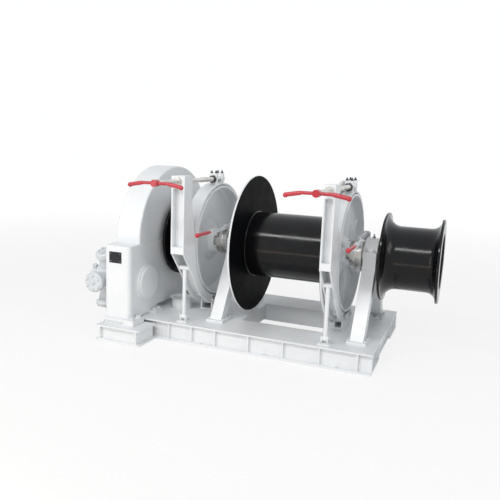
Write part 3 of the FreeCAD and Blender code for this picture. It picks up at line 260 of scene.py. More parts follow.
@dataclass(frozen=True)
class Groups:
    """The node groups that the finishes share."""

    edges: SharedGroup
    film: SharedGroup
    dust: SharedGroup
    rings: SharedGroup


GROUPS = Groups(edge_group(), film_group(), dust_group(), turned_group())


# ---- Finishes ----
def new_material(name: str, metallic: float = 0.0,
                 specular: float = 0.5) -> tuple[bpy.types.Material, NodeKit, bpy.types.Node]:
    """Start a material.

    Args:
        name: the finish's name.
        metallic: 1 for bare metal.
        specular: how strongly it mirrors at a straight look.

    Returns:
        The material, its node kit and its surface shader.
    """
    material = bpy.data.materials.new(name)
    material.use_nodes = True
    kit = NodeKit(material.node_tree)
    shader = material.node_tree.nodes["Principled BSDF"]
    shader.inputs["Metallic"].default_value = metallic
    shader.inputs["Specular IOR Level"].default_value = specular
    LOG.info("mixed %s", name)
    return material, kit, shader


def surface(kit: NodeKit, shader: bpy.types.Node, color: Feed, roughness: Feed,
            relief: dict[str, Feed]) -> None:
    """Feed a surface shader.

    Args:
        kit: the material's nodes.
        shader: its surface shader.
        color: the base colour.
        roughness: how matt it is.
        relief: the inputs of its bump.
    """
    kit.feed(shader.inputs["Base Color"], color)
    kit.feed(shader.inputs["Roughness"], roughness)
    kit.feed(shader.inputs["Normal"], kit.add("Bump", relief).outputs[0])


@dataclass(frozen=True)
class Paint:
    """A coat of paint over primer."""

    name: str
    color: Color
    shade: Color
    primer: Color
    roughness: float
    variation: float = 0.35
    wear: float = 0.25
    dust: float = 0.2
    dust_color: Color = (0.46, 0.45, 0.43, 1.0)
    peel: float = 210.0
    bump: float = 0.00035
    edge: float = 0.003
    coat: float = 0.0
    specular: float = 0.5
    slot: Slot = Slot.WHITE

    def colored(self, kit: NodeKit, base: Feed) -> tuple[dict, bpy.types.NodeSocket]:
        """The film's outputs over a base colour, and the bent normal of its edges.

        Args:
            kit: the material's nodes.
            base: the colour of the fresh coat.

        Returns:
            Color, Roughness and Height by name, and the normal.
        """
        film = GROUPS.film.use(kit, Base_Color=base, Shade_Color=self.shade, Variation=self.variation,
                               Roughness=self.roughness, Peel=self.peel)
        edges = GROUPS.edges.use(kit, Radius=self.edge)
        dust = GROUPS.dust.use(kit, Amount=self.dust)
        worn = kit.mix(kit.work("MULTIPLY", edges["Mask"], self.wear), film["Color"], self.primer)
        film["Color"] = kit.mix(dust["Mask"], worn, self.dust_color)
        film["Roughness"] = kit.work("ADD", film["Roughness"], kit.work("MULTIPLY", dust["Mask"], 0.45))
        return film, edges["Normal"]

    def finish(self, kit: NodeKit, shader: bpy.types.Node, base: Feed) -> None:
        """Join the coat to the surface shader."""
        film, normal = self.colored(kit, base)
        surface(kit, shader, film["Color"], film["Roughness"],
                {"Height": film["Height"], "Normal": normal, "Distance": self.bump})
        shader.inputs["Coat Weight"].default_value = self.coat
        shader.inputs["Coat Roughness"].default_value = 0.12

    def material(self) -> bpy.types.Material:
        """Make the plain coat."""
        material, kit, shader = new_material(self.name, specular=self.specular)
        self.finish(kit, shader, self.color)
        return material

    def banded(self, name: str, other: Color, line: float, above: bool) -> bpy.types.Material:
        """Make a coat of two colours that meet at one station of the shaft.

        Args:
            name: the material's name.
            other: the colour beyond the line.
            line: where the colours meet, along X.
            above: whether the other colour lies on the +X side.

        Returns:
            The material.
        """
        material, kit, shader = new_material(name, specular=self.specular)
        along = kit.add("SeparateXYZ", {0: kit.place()}).outputs["X"]
        beyond = kit.work("GREATER_THAN" if above else "LESS_THAN", along, line)
        self.finish(kit, shader, kit.mix(beyond, self.color, other))
        return material


@dataclass(frozen=True)
class BareSteel:
    """Turned or rolled metal without paint."""

    name: str
    color: Color
    stain: Color
    roughness: float
    axis: Axis = Axis.X
    ring_pitch: float = 900.0
    bump: float = 0.0002
    slot: Slot = Slot.STEEL

    def material(self) -> bpy.types.Material:
        """Make the metal with its lathe rings and a light stain."""
        material, kit, shader = new_material(self.name, metallic=1.0)
        spot = kit.place()
        along = kit.add("SeparateXYZ", {0: spot}).outputs[self.axis.value]
        rings = GROUPS.rings.use(kit, Along=along, Pitch=self.ring_pitch)
        edges = GROUPS.edges.use(kit, Radius=0.0015)
        stain = kit.spread(kit.noise(spot, 11.0, 8.0), 0.5, 0.72, 0.0, 0.55)
        color = kit.mix(stain, kit.mix(rings["Tone"], self.color, self.stain), self.stain)
        turned = kit.spread(rings["Tone"], 0.2, 0.9, self.roughness - 0.06, self.roughness + 0.12)
        rough = kit.work("ADD", turned, kit.work("MULTIPLY", stain, 0.3))
        surface(kit, shader, color, rough,
                {"Height": rings["Height"], "Normal": edges["Normal"], "Distance": self.bump})
        return material


@dataclass(frozen=True)
class Lining:
    """Pressed friction lining: dark, matt, with a fibre fleck."""

    name: str = "brake_lining"
    color: Color = (0.035, 0.030, 0.026, 1.0)
    fleck: Color = (0.16, 0.12, 0.07, 1.0)
    roughness: float = 0.86
    slot: Slot = Slot.STEEL

    def material(self) -> bpy.types.Material:
        """Make the fleck and the grain."""
        material, kit, shader = new_material(self.name, specular=0.25)
        spot = kit.place()
        fibre = kit.add("TexVoronoi", {"Vector": spot, "Scale": 420.0}).outputs["Distance"]
        fleck = kit.spread(fibre, 0.16, 0.05)
        surface(kit, shader, kit.mix(fleck, self.color, self.fleck),
                kit.spread(kit.noise(spot, 90.0, 3.0), 0.3, 0.7, self.roughness, 1.0),
                {"Height": kit.noise(spot, 520.0, 2.0), "Distance": 0.0004})
        return material


WHITE = (0.80, 0.82, 0.835, 1.0)
BLACK = (0.0045, 0.0047, 0.0055, 1.0)
PRIMER = (0.33, 0.34, 0.35, 1.0)

WHITE_PAINT = Paint("white_marine_paint", WHITE, (0.86, 0.875, 0.90, 1.0), PRIMER, roughness=0.42, coat=0.15)
FITTING_PAINT = Paint("white_painted_fitting", (0.70, 0.72, 0.74, 1.0), (0.80, 0.82, 0.85, 1.0), PRIMER,
                      roughness=0.46, wear=0.5, edge=0.0012, bump=0.0002)
BLACK_PAINT = Paint("gloss_black_paint", BLACK, (0.6, 0.6, 0.62, 1.0), (0.07, 0.062, 0.055, 1.0),
                    roughness=0.15, wear=0.35, dust=0.010, peel=120.0, bump=0.00014, specular=0.24,
                    slot=Slot.BLACK)
FLANGE_PAINT = Paint("two_tone_flange", WHITE, (0.86, 0.875, 0.90, 1.0), PRIMER, roughness=0.46,
                     wear=0.15, dust=0.05, specular=0.02)
RED_PAINT = Paint("crimson_paint", (0.50, 0.018, 0.035, 1.0), (0.6, 0.45, 0.45, 1.0), (0.28, 0.26, 0.25, 1.0),
                  roughness=0.34, wear=0.3, dust=0.06, edge=0.0015, bump=0.0002, coat=0.3,
                  slot=Slot.RED)
MOTOR_PAINT = Paint("motor_paint", (0.66, 0.69, 0.715, 1.0), (0.80, 0.82, 0.85, 1.0), PRIMER,
                    roughness=0.48, peel=420.0, bump=0.0007, slot=Slot.MOTOR)
WELD_PAINT = Paint("painted_weld", (0.76, 0.78, 0.80, 1.0), (0.78, 0.8, 0.82, 1.0), PRIMER,
                   roughness=0.5, wear=0.1, peel=150.0, bump=0.0022, edge=0.001)
SHAFT_STEEL = BareSteel("machined_shaft_steel", (0.82, 0.82, 0.81, 1.0), (0.48, 0.46, 0.43, 1.0),
                        roughness=0.34)
SPINDLE_STEEL = BareSteel("machined_spindle_steel", (0.80, 0.80, 0.79, 1.0), (0.46, 0.44, 0.41, 1.0),
                          roughness=0.36, axis=Axis.Y)
BOLT_STEEL = BareSteel("plated_bolt_steel", (0.52, 0.53, 0.54, 1.0), (0.26, 0.25, 0.23, 1.0), roughness=0.38,
                       axis=Axis.Z, ring_pitch=300.0)
DARK_STEEL = BareSteel("blackened_steel", (0.10, 0.10, 0.105, 1.0), (0.05, 0.048, 0.045, 1.0), roughness=0.42,
                       axis=Axis.Y, ring_pitch=400.0)
PLATE_METAL = BareSteel("dark_name_plate", (0.045, 0.047, 0.052, 1.0), (0.02, 0.02, 0.022, 1.0),
                        roughness=0.36, axis=Axis.Z, ring_pitch=500.0, bump=0.0001)

Finish = Union[Paint, BareSteel, Lining]


class PaintShop:
    """Keeps one material of each finish, and puts it on pieces and nodes."""

    def __init__(self) -> None:
        """Start with an empty shelf."""
        self.shelf: dict[str, bpy.types.Material] = {}

    def get(self, finish: Finish) -> bpy.types.Material:
        """The finish's material, made at its first use."""
        if finish.name not in self.shelf:
            self.shelf[finish.name] = finish.material()
        return self.shelf[finish.name]

    def coat_node(self, node: str, material: bpy.types.Material) -> None:
        """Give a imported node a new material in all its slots."""
        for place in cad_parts[node].material_slots:
            place.material = material

    def coat_nodes(self, finish: Finish, nodes: Iterable[str]) -> None:
        """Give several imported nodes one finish."""
        for node in nodes:
            self.coat_node(node, self.get(finish))

    def hand_over(self, piece: bpy.types.Object, name: str, finish: Finish, body: str = "base",
                  smooth: float = 32.0) -> bpy.types.Object:
        """Name, shade, paint and hang a finished piece.

        Args:
            piece: the mesh, with its place in its vertices.
            name: its name in the scene.
            finish: what it is coated with.
            body: the body that it moves with.
            smooth: the angle in degrees below which its faces shade as one.

        Returns:
            The piece.
        """
        only(piece)
        bpy.ops.object.shade_smooth_by_angle(angle=math.radians(smooth))
        piece.name = name
        piece.data.name = name
        piece.data.materials.clear()
        piece.data.materials.append(self.get(finish))
        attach(piece, body)
        LOG.info("%s: %d faces on %s", name, len(piece.data.polygons), body)
        return piece


SHOP = PaintShop()


# ---- Modelling by hand ----
def deselect() -> None:
    """Leave edit mode and let go of everything."""
    if bpy.context.mode != "OBJECT":
        bpy.ops.object.mode_set(mode="OBJECT")
    bpy.ops.object.select_all(action="DESELECT")


def only(piece: bpy.types.Object) -> None:
    """Select one piece and make it active."""
    deselect()
    piece.select_set(True)
    bpy.context.view_layer.objects.active = piece


def fresh() -> bpy.types.Object:
    """The primitive just added, with its place moved into its mesh."""
    bpy.ops.object.transform_apply(location=True, rotation=True, scale=True)
    return bpy.context.object


@contextmanager
def editing(piece: bpy.types.Object) -> Iterator[None]:
    """Edit one piece by its faces, with all of them selected."""
    only(piece)
    bpy.ops.object.mode_set(mode="EDIT")
    bpy.ops.mesh.select_mode(type="FACE")
    bpy.ops.mesh.select_all(action="SELECT")
    yield
    bpy.ops.object.mode_set(mode="OBJECT")


def pick(piece: bpy.types.Object, wanted: Callable[[bpy.types.MeshPolygon], bool]) -> None:
    """Select, in edit mode, only the faces that are wanted."""
    bpy.ops.mesh.select_all(action="DESELECT")
    bpy.ops.object.mode_set(mode="OBJECT")
    for face in piece.data.polygons:
        face.select = wanted(face)
    bpy.ops.object.mode_set(mode="EDIT")


def apply_modifier(piece: bpy.types.Object, kind: str, **settings: object) -> None:
    """Add a modifier, set it and apply it."""
    only(piece)
    modifier = piece.modifiers.new(kind.lower(), kind)
    for name, value in settings.items():
        setattr(modifier, name, value)
    bpy.ops.object.modifier_apply(modifier=modifier.name)


def lathe(profile: Sequence[tuple[float, float]], segments: int) -> bpy.types.Object:
    """Pull a disc up its axis, ring by ring.

    Args:
        profile: height and radius of each ring, from the bottom.
        segments: corners of each ring.

    Returns:
        A closed piece about +Z.
    """
    deselect()
    height, radius = profile[0]
    bpy.ops.mesh.primitive_circle_add(vertices=segments, radius=radius, fill_type="NGON",
                                      location=(0, 0, height))
    piece = fresh()
    with editing(piece):
        for (low, inner), (high, outer) in zip(profile, profile[1:]):
            bpy.ops.mesh.extrude_region_move(TRANSFORM_OT_translate={"value": (0, 0, high - low)})
            bpy.ops.transform.resize(value=(outer / inner, outer / inner, 1), center_override=(0, 0, high))
        bpy.ops.mesh.select_all(action="SELECT")
        bpy.ops.mesh.normals_make_consistent(inside=False)
    return piece


def joined(pieces: Sequence[bpy.types.Object]) -> bpy.types.Object:
    """Join several meshes into the first."""
    deselect()
    for piece in pieces:
        piece.select_set(True)
    bpy.context.view_layer.objects.active = pieces[0]
    if len(pieces) > 1:
        bpy.ops.object.join()
    return bpy.context.object


def block(middle: Vector, size: Spot) -> bpy.types.Object:
    """A box of the given size about a point."""
    deselect()
    bpy.ops.mesh.primitive_cube_add(size=1.0, location=middle, scale=size)
    return fresh()


def looks_forward(face: bpy.types.MeshPolygon) -> bool:
    """Whether a face looks along -Y."""
    return face.normal.y < -0.9


def facing(spot: Vector, toward: Vector, twist: float = 0.0) -> Matrix:
    """Where a piece about +Z goes so that it stands on a spot and points along a direction."""
    turn = toward.to_track_quat("Z", "Y").to_matrix().to_4x4()
    return Matrix.Translation(spot) @ turn @ Matrix.Rotation(twist, 4, "Z")


def copied(pattern: bpy.types.Object, places: Sequence[Matrix]) -> bpy.types.Object:
    """Copy a piece to each place, each with its own mesh, join the copies and drop the pattern."""
    copies = []
    for place in places:
        copy = pattern.copy()
        copy.data = pattern.data.copy()
        copy.data.transform(place)
        bpy.context.scene.collection.objects.link(copy)
        copies.append(copy)
    bpy.data.objects.remove(pattern)
    return joined(copies)


def ring(centre: Vector, radius: float, count: int, start: float = 0.0) -> list[Vector]:
    """Spots evenly round a line along X, the first at an angle in degrees from straight up."""
    angles = [math.radians(start + 360.0 * number / count) for number in range(count)]
    return [centre + Vector((0.0, radius * math.sin(angle), radius * math.cos(angle))) for angle in angles]


@dataclass(frozen=True)
class Fastener:
    """A hexagon head or nut with its washer and, on a nut, the stud's end."""

    across: float
    height: float
    washer_radius: float = 0.0
    washer: float = 0.0
    stud_radius: float = 0.0
    stud_rise: float = 0.0

    def model(self) -> bpy.types.Object:
        """Build it on the plane z = 0, pointing up."""
        corner = self.across / math.sqrt(3.0)
        top = self.washer + self.height
        parts = [lathe([(self.washer, corner * 0.93), (self.washer + self.height * 0.10, corner),
                        (top - self.height * 0.16, corner), (top, corner * 0.84)], 6)]
        if self.washer:
            parts.append(lathe([(0.0, self.washer_radius), (self.washer * 0.7, self.washer_radius),
                                (self.washer, self.washer_radius * 0.95)], 20))
        if self.stud_rise:
            wide, tall = self.stud_radius, self.stud_rise
            parts.append(lathe([(top - 0.001, wide), (top + tall * 0.7, wide),
                                (top + tall, wide * 0.75)], 12))
        else:
            parts.append(lathe([(top - 0.0004, corner * 0.62), (top + 0.0004, corner * 0.58)], 12))
        return joined(parts)

    def fit(self, spots: Iterable[tuple[Vector, Vector]], seed: int) -> bpy.types.Object:
        """Set one on each spot, each turned as the wrench left it.

        Args:
            spots: where each sits and which way it points.
            seed: the number that the turns are drawn from.

        Returns:
            All of them as one piece.
        """
        draw = random.Random(seed)
        places = [facing(spot, toward, draw.uniform(0.0, math.tau)) for spot, toward in spots]
        return copied(self.model(), places)


M10 = Fastener(0.017, 0.0065, 0.0100, 0.002)
M12 = Fastener(0.019, 0.0080, 0.0118, 0.0025)
M12_NUT = Fastener(0.019, 0.0105, 0.0116, 0.0025, 0.006, 0.009)
M16 = Fastener(0.024, 0.0100, 0.0150, 0.003)
M20 = Fastener(0.030, 0.0125, 0.0185, 0.003)
M24 = Fastener(0.036, 0.0150, 0.0220, 0.004)
GLASS_SCREW = Fastener(0.008, 0.004)
DRAIN_PLUG = Fastener(0.036, 0.016, 0.024, 0.004)
FOOT_BOLT = Fastener(0.019, 0.010)
PIN_KEEPER = Fastener(0.019, 0.008, 0.023, 0.003)
LUG_STUD = Fastener(0.019, 0.009, 0.0115, 0.002, 0.006, 0.012)

NIPPLE_BASE = ((0.0, 0.013), (0.009, 0.013), (0.011, 0.0115))
NIPPLE_NECK = ((0.011, 0.007), (0.017, 0.006), (0.019, 0.0045), (0.022, 0.0045), (0.025, 0.0062),
               (0.028, 0.0055), (0.030, 0.003))


def dome(radius: float, rise: float) -> bpy.types.Object:
    """A low rivet head on the plane z = 0."""
    return lathe([(0.0, radius), (rise * 0.45, radius * 0.94), (rise * 0.8, radius * 0.7),
                  (rise, radius * 0.3)], 14)


def ball_end(radius: float, neck: float) -> bpy.types.Object:
    """The round end of a hand grip, its middle at the origin and its neck below."""
    rings = []
    for number in range(1, 10):
        angle = math.radians(180.0 - 18.0 * number)
        rings.append((radius * math.cos(angle), radius * math.sin(angle)))
    return lathe([(-radius * 1.25, neck), (-radius * 1.02, neck)] + rings, 20)


def weld_run(runs: Sequence[tuple[Vector, Vector]], size: float) -> bpy.types.Object:
    """Beads of weld, each from a start to an end, thick in the middle and tapered at its ends."""
    beads = []
    for start, end in runs:
        line = end - start
        step = size * 1.4
        bead = lathe([(0.0, size * 0.35), (step, size), (line.length - step, size),
                      (line.length, size * 0.35)], 10)
        bead.data.transform(facing(start, line.normalized()))
        beads.append(bead)
    return joined(beads)


def weld_circle(middle: Spot, radius: float, size: float, seed: int, tilt: float = 0.0,
                segments: int = 72, ragged: float = 0.12) -> bpy.types.Object:
    """A bead of weld round a circle.

    Args:
        middle: the circle's middle.
        radius: its radius.
        size: the bead's own radius.
        seed: the number that its unevenness is drawn from.
        tilt: how far it is turned about Y from lying flat.
        segments: the steps that it goes round in.
        ragged: its unevenness, as a share of its own radius.

    Returns:
        The bead.
    """
    deselect()
    bpy.ops.mesh.primitive_torus_add(location=middle, rotation=(0, tilt, 0), major_radius=radius,
                                     minor_radius=size, major_segments=segments, minor_segments=8)
    bead = fresh()
    with editing(bead):
        bpy.ops.transform.vertex_random(offset=size * ragged, seed=seed)
    return bead


def centre_of(node: str) -> Vector:
    """The middle of a node's box."""
    low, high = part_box(node)
    return (low + high) / 2


def right_face(node: str) -> Vector:
    """The middle of the +X side of a node's box."""
    middle = centre_of(node)
    return Vector((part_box(node)[1].x, middle.y, middle.z))


@dataclass
class Sided:
    """A sub-assembly that the winch has twice along its shaft."""

    side: Side

    def named(self, stem: str) -> str:
        """What this side calls a node, a piece or a body."""
        return stem + "_" + self.side.value


# ---- The gear case and its motor ----
@dataclass
class GearCase:
    """The gear case's bolts, a dark block of painted shade in the gap under its front foot, name plate, oil
    glass and drain plug.
    """

    pad_rise: float = 0.018
    pad_length: float = 0.110
    pad_bolt_inset: float = 0.028
    inner_pad_start: float = 0.340
    front_pad_reach: float = 0.040
    # The next four lengths size a dark block that paints the shadow in the gap under the front foot.
    gap_shade_length: float = 0.170
    gap_shade_height: float = 0.010
    gap_shade_lip: float = 0.0015
    gap_shade_drop: float = 0.007
    glass_radius: float = 0.048
    glass_rise: float = 0.310
    rim_shoulder: float = 0.010
    rim_height: float = 0.012
    rim_seat: float = 0.006
    pane_back: float = 0.0055
    pane_shoulder: float = 0.0075
    pane_front: float = 0.0082
    glass_screws: int = 6
    screw_share: float = 0.79
    drain_rise: float = 0.060
    gland_bolt_inset: float = 0.038
    plate_width: float = 0.108
    plate_height: float = 0.085
    plate_thickness: float = 0.003
    plate_rim: float = 0.006
    plate_from_right: float = 0.124
    plate_below_split: float = 0.090

    def right(self) -> float:
        """X of the case's right face, which the shaft's gland sits on."""
        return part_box("shaft_gland")[0].x

    def deck(self) -> float:
        """Z of the deck's top."""
        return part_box("right_deck")[1].z

    def pad_bolts(self) -> None:
        """Two bolts on each pad, in the strip that shows beside the case."""
        low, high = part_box("gear_case")
        x = (high.x + self.right()) / 2
        z = self.deck() + self.pad_rise
        inset, reach = self.pad_bolt_inset, self.pad_length - self.pad_bolt_inset
        rows = [low.y + inset, low.y + reach + self.front_pad_reach]
        for side in (-1, 1):
            rows += [side * (self.inner_pad_start + inset), side * (self.inner_pad_start + reach)]
        bolts = M24.fit([(Vector((x, y, z)), ALONG_Z) for y in rows], seed=11)
        SHOP.hand_over(bolts, "case_pad_bolts", FITTING_PAINT)

    def gland_bolts(self) -> None:
        """The ring of bolts on the shaft's gland."""
        low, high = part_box("shaft_gland")
        radius = (high.z - low.z) / 2 - self.gland_bolt_inset
        spots = ring(right_face("shaft_gland"), radius, 8, 22.5)
        bolts = M12.fit([(spot, ALONG_X) for spot in spots], seed=13)
        SHOP.hand_over(bolts, "shaft_gland_bolts", FITTING_PAINT)

    def foot_gap_shade(self) -> None:
        """A narrow dark block at the front foot: painted shade that stands for the shadow in the gap under
        the case.
        """
        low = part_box("gear_case")[0]
        middle = Vector(((low.x + self.right()) / 2, low.y, self.deck() - self.gap_shade_drop))
        slot = block(middle, (self.gap_shade_length, self.gap_shade_lip * 2, self.gap_shade_height))
        with editing(slot):
            pick(slot, looks_forward)
            bpy.ops.mesh.inset(thickness=self.gap_shade_lip, depth=-self.gap_shade_lip * 1.5)
        apply_modifier(slot, "BEVEL", width=self.gap_shade_lip * 0.3, segments=2)
        # Blackened steel here is painted shade: the block stands for the shadow in the gap, not for a part.
        SHOP.hand_over(slot, "case_foot_gap_shade", DARK_STEEL)

    def name_plate(self) -> None:
        """A bare dark plate with a raised rim and a rivet in each corner."""
        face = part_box("gear_case")[0].y + self.front_pad_reach
        middle = Vector((self.right() - self.plate_from_right, face,
                         centre_of("shaft_gland").z - self.plate_below_split))
        plate = block(middle - ALONG_Y * self.plate_thickness / 2,
                      (self.plate_width, self.plate_thickness, self.plate_height))
        with editing(plate):
            pick(plate, looks_forward)
            bpy.ops.mesh.inset(thickness=self.plate_rim, depth=0.0)
            bpy.ops.mesh.inset(thickness=self.plate_rim * 0.2, depth=-self.plate_thickness * 0.45)
        apply_modifier(plate, "BEVEL", width=0.0006, segments=2)
        SHOP.hand_over(plate, "name_plate", PLATE_METAL)
        across = self.plate_width / 2 - self.plate_rim * 2.2
        tall = self.plate_height / 2 - self.plate_rim * 2.2
        front = middle - ALONG_Y * self.plate_thickness * 0.55
        corners = [front + Vector((side * across, 0.0, rise * tall)) for side in (-1, 1) for rise in (-1, 1)]
        rivets = copied(dome(0.0035, 0.0022), [facing(spot, -ALONG_Y) for spot in corners])
        SHOP.hand_over(rivets, "name_plate_rivets", BOLT_STEEL)

    def end_fittings(self) -> None:
        """The oil glass and the drain plug on the case's back end."""
        low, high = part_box("gear_case")
        foot = Vector(((low.x + self.right()) / 2, high.y, self.deck()))
        middle = foot + ALONG_Z * self.glass_rise
        radius = self.glass_radius
        rim = lathe([(0.0, radius), (self.rim_shoulder, radius), (self.rim_height, radius * 0.95),
                     (self.rim_height, radius * 0.62), (self.rim_seat, radius * 0.60),
                     (self.rim_seat, radius * 0.30)], 36)
        rim.data.transform(facing(middle, ALONG_Y))
        SHOP.hand_over(rim, "oil_glass_rim", MOTOR_PAINT)
        pane = lathe([(self.pane_back, radius * 0.58), (self.pane_shoulder, radius * 0.58),
                      (self.pane_front, radius * 0.50)], 32)
        pane.data.transform(facing(middle, ALONG_Y))
        SHOP.hand_over(pane, "oil_glass_pane", DARK_STEEL)
        spots = []
        for number in range(self.glass_screws):
            turn = math.tau * number / self.glass_screws
            spoke = Vector((math.sin(turn), 0.0, math.cos(turn))) * radius * self.screw_share
            spots.append((middle + spoke + ALONG_Y * self.rim_height, ALONG_Y))
        SHOP.hand_over(GLASS_SCREW.fit(spots, seed=14), "oil_glass_screws", FITTING_PAINT)
        drain = DRAIN_PLUG.fit([(foot + ALONG_Z * self.drain_rise, ALONG_Y)], seed=15)
        SHOP.hand_over(drain, "drain_plug", FITTING_PAINT)

    def build(self) -> None:
        """Coat the case and add its fittings."""
        SHOP.coat_nodes(WHITE_PAINT, ("gear_case", "gear_cover", "shaft_gland", "pinion_cap"))
        self.pad_bolts()
        self.gland_bolts()
        self.foot_gap_shade()
        self.end_fittings()
        self.name_plate()


@dataclass
class HydraulicMotor:
    """Bolts, plugs and ports of the five-cylinder motor."""

    cylinders: int = 5
    station: float = 0.118
    crown: float = 0.240
    flange_inset: float = 0.016
    flange: float = 0.024
    head_bolt_radius: float = 0.056
    plug_radius: float = 0.024
    valve_bolt_radius: float = 0.064
    boss_length: float = 0.030
    port_radius: float = 0.022
    port_rise: float = 0.034
    port_sink: float = 0.004
    port_lean: float = 28.0

    def centre(self) -> Vector:
        """Where the motor's own line meets the gear case."""
        line = centre_of("pinion_cap")
        return Vector((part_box("hydraulic_motor")[1].x, line.y, line.z))

    def head_ring(self, toward: Vector) -> list[Vector]:
        """Spots of the bolts on one cylinder's head."""
        middle = self.centre() - ALONG_X * self.station + toward * self.crown
        other = ALONG_X.cross(toward)
        turns = [math.radians(30 + 60 * number) for number in range(6)]
        return [middle + (ALONG_X * math.cos(turn) + other * math.sin(turn)) * self.head_bolt_radius
                for turn in turns]

    def cylinder_heads(self) -> None:
        """Six bolts and one plug on each head."""
        bolts, plugs = [], []
        for number in range(self.cylinders):
            angle = math.tau * number / self.cylinders
            toward = Vector((0.0, -math.cos(angle), math.sin(angle)))
            bolts += [(spot, toward) for spot in self.head_ring(toward)]
            plugs.append(facing(self.centre() - ALONG_X * self.station + toward * self.crown, toward))
        SHOP.hand_over(M12.fit(bolts, seed=21), "motor_head_bolts", FITTING_PAINT)
        wide = self.plug_radius
        plug = lathe([(0.0, wide), (0.004, wide), (0.0055, wide * 0.9), (0.0055, wide * 0.5),
                      (0.012, wide * 0.48), (0.013, wide * 0.4)], 24)
        SHOP.hand_over(copied(plug, plugs), "motor_head_plugs", MOTOR_PAINT)

    def flange_bolts(self) -> None:
        """Bolts through the motor's flange, between the cylinders, and round the valve."""
        face = self.centre() - ALONG_X * self.flange
        flange_radius = (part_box("pinion_cap")[1].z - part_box("pinion_cap")[0].z) / 2
        spots = [(spot, -ALONG_X) for spot in ring(face, flange_radius - self.flange_inset, 10, 18)]
        SHOP.hand_over(M12.fit(spots, seed=22), "motor_flange_bolts", FITTING_PAINT)
        cap = Vector((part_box("motor_valve")[0].x + self.boss_length, self.centre().y, self.centre().z))
        spots = [(spot, -ALONG_X) for spot in ring(cap, self.valve_bolt_radius, 6, 30)]
        SHOP.hand_over(M10.fit(spots, seed=23), "motor_valve_bolts", FITTING_PAINT)

    def ports(self) -> None:
        """Two oil ports on the valve's upper side, closed with plugs."""
        low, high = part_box("motor_valve")
        middle = Vector((high.x - (high.x - low.x - self.boss_length) / 2, self.centre().y, self.centre().z))
        radius = (high.z - low.z) / 2 - self.port_sink
        wide, tall = self.port_radius, self.port_rise
        port = joined([
            lathe([(0.0, wide), (tall * 0.5, wide), (tall * 0.5, wide * 0.8), (tall * 0.6, wide * 0.8)], 24),
            lathe([(tall * 0.6, wide * 0.95), (tall * 0.95, wide * 0.95), (tall, wide * 0.82)], 6)])
        places = []
        for lean in (-self.port_lean, self.port_lean):
            toward = Vector((0.0, math.sin(math.radians(lean)), math.cos(math.radians(lean))))
            places.append(facing(middle + toward * radius, toward))
        SHOP.hand_over(copied(port, places), "motor_ports", MOTOR_PAINT)

    def build(self) -> None:
        """Coat the motor and add its fittings."""
        SHOP.coat_nodes(MOTOR_PAINT, ("hydraulic_motor", "motor_valve"))
        self.cylinder_heads()
        self.flange_bolts()
        self.ports()


# ---- The base frame and the stands ----
@dataclass
class BaseFrame:
    """The welded base frame and the chain pipe."""

    weld: float = 0.006
    pipe_wall_reach: float = 0.026

    def build(self) -> None:
        """Coat the base and run a weld round the foot of the chain pipe."""
        SHOP.coat_nodes(WHITE_PAINT, ("front_girder", "back_girder", "left_deck", "right_deck",
                                      "gear_bed_front", "gear_bed_back", "chain_pipe"))
        low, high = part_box("chain_pipe")
        middle = (low + high) / 2
        radius = (high.x - low.x) / 2 - self.pipe_wall_reach
        bead = weld_circle((middle.x, middle.y, low.z), radius, self.weld, seed=31)
        SHOP.hand_over(bead, "chain_pipe_weld", WELD_PAINT, smooth=60.0)


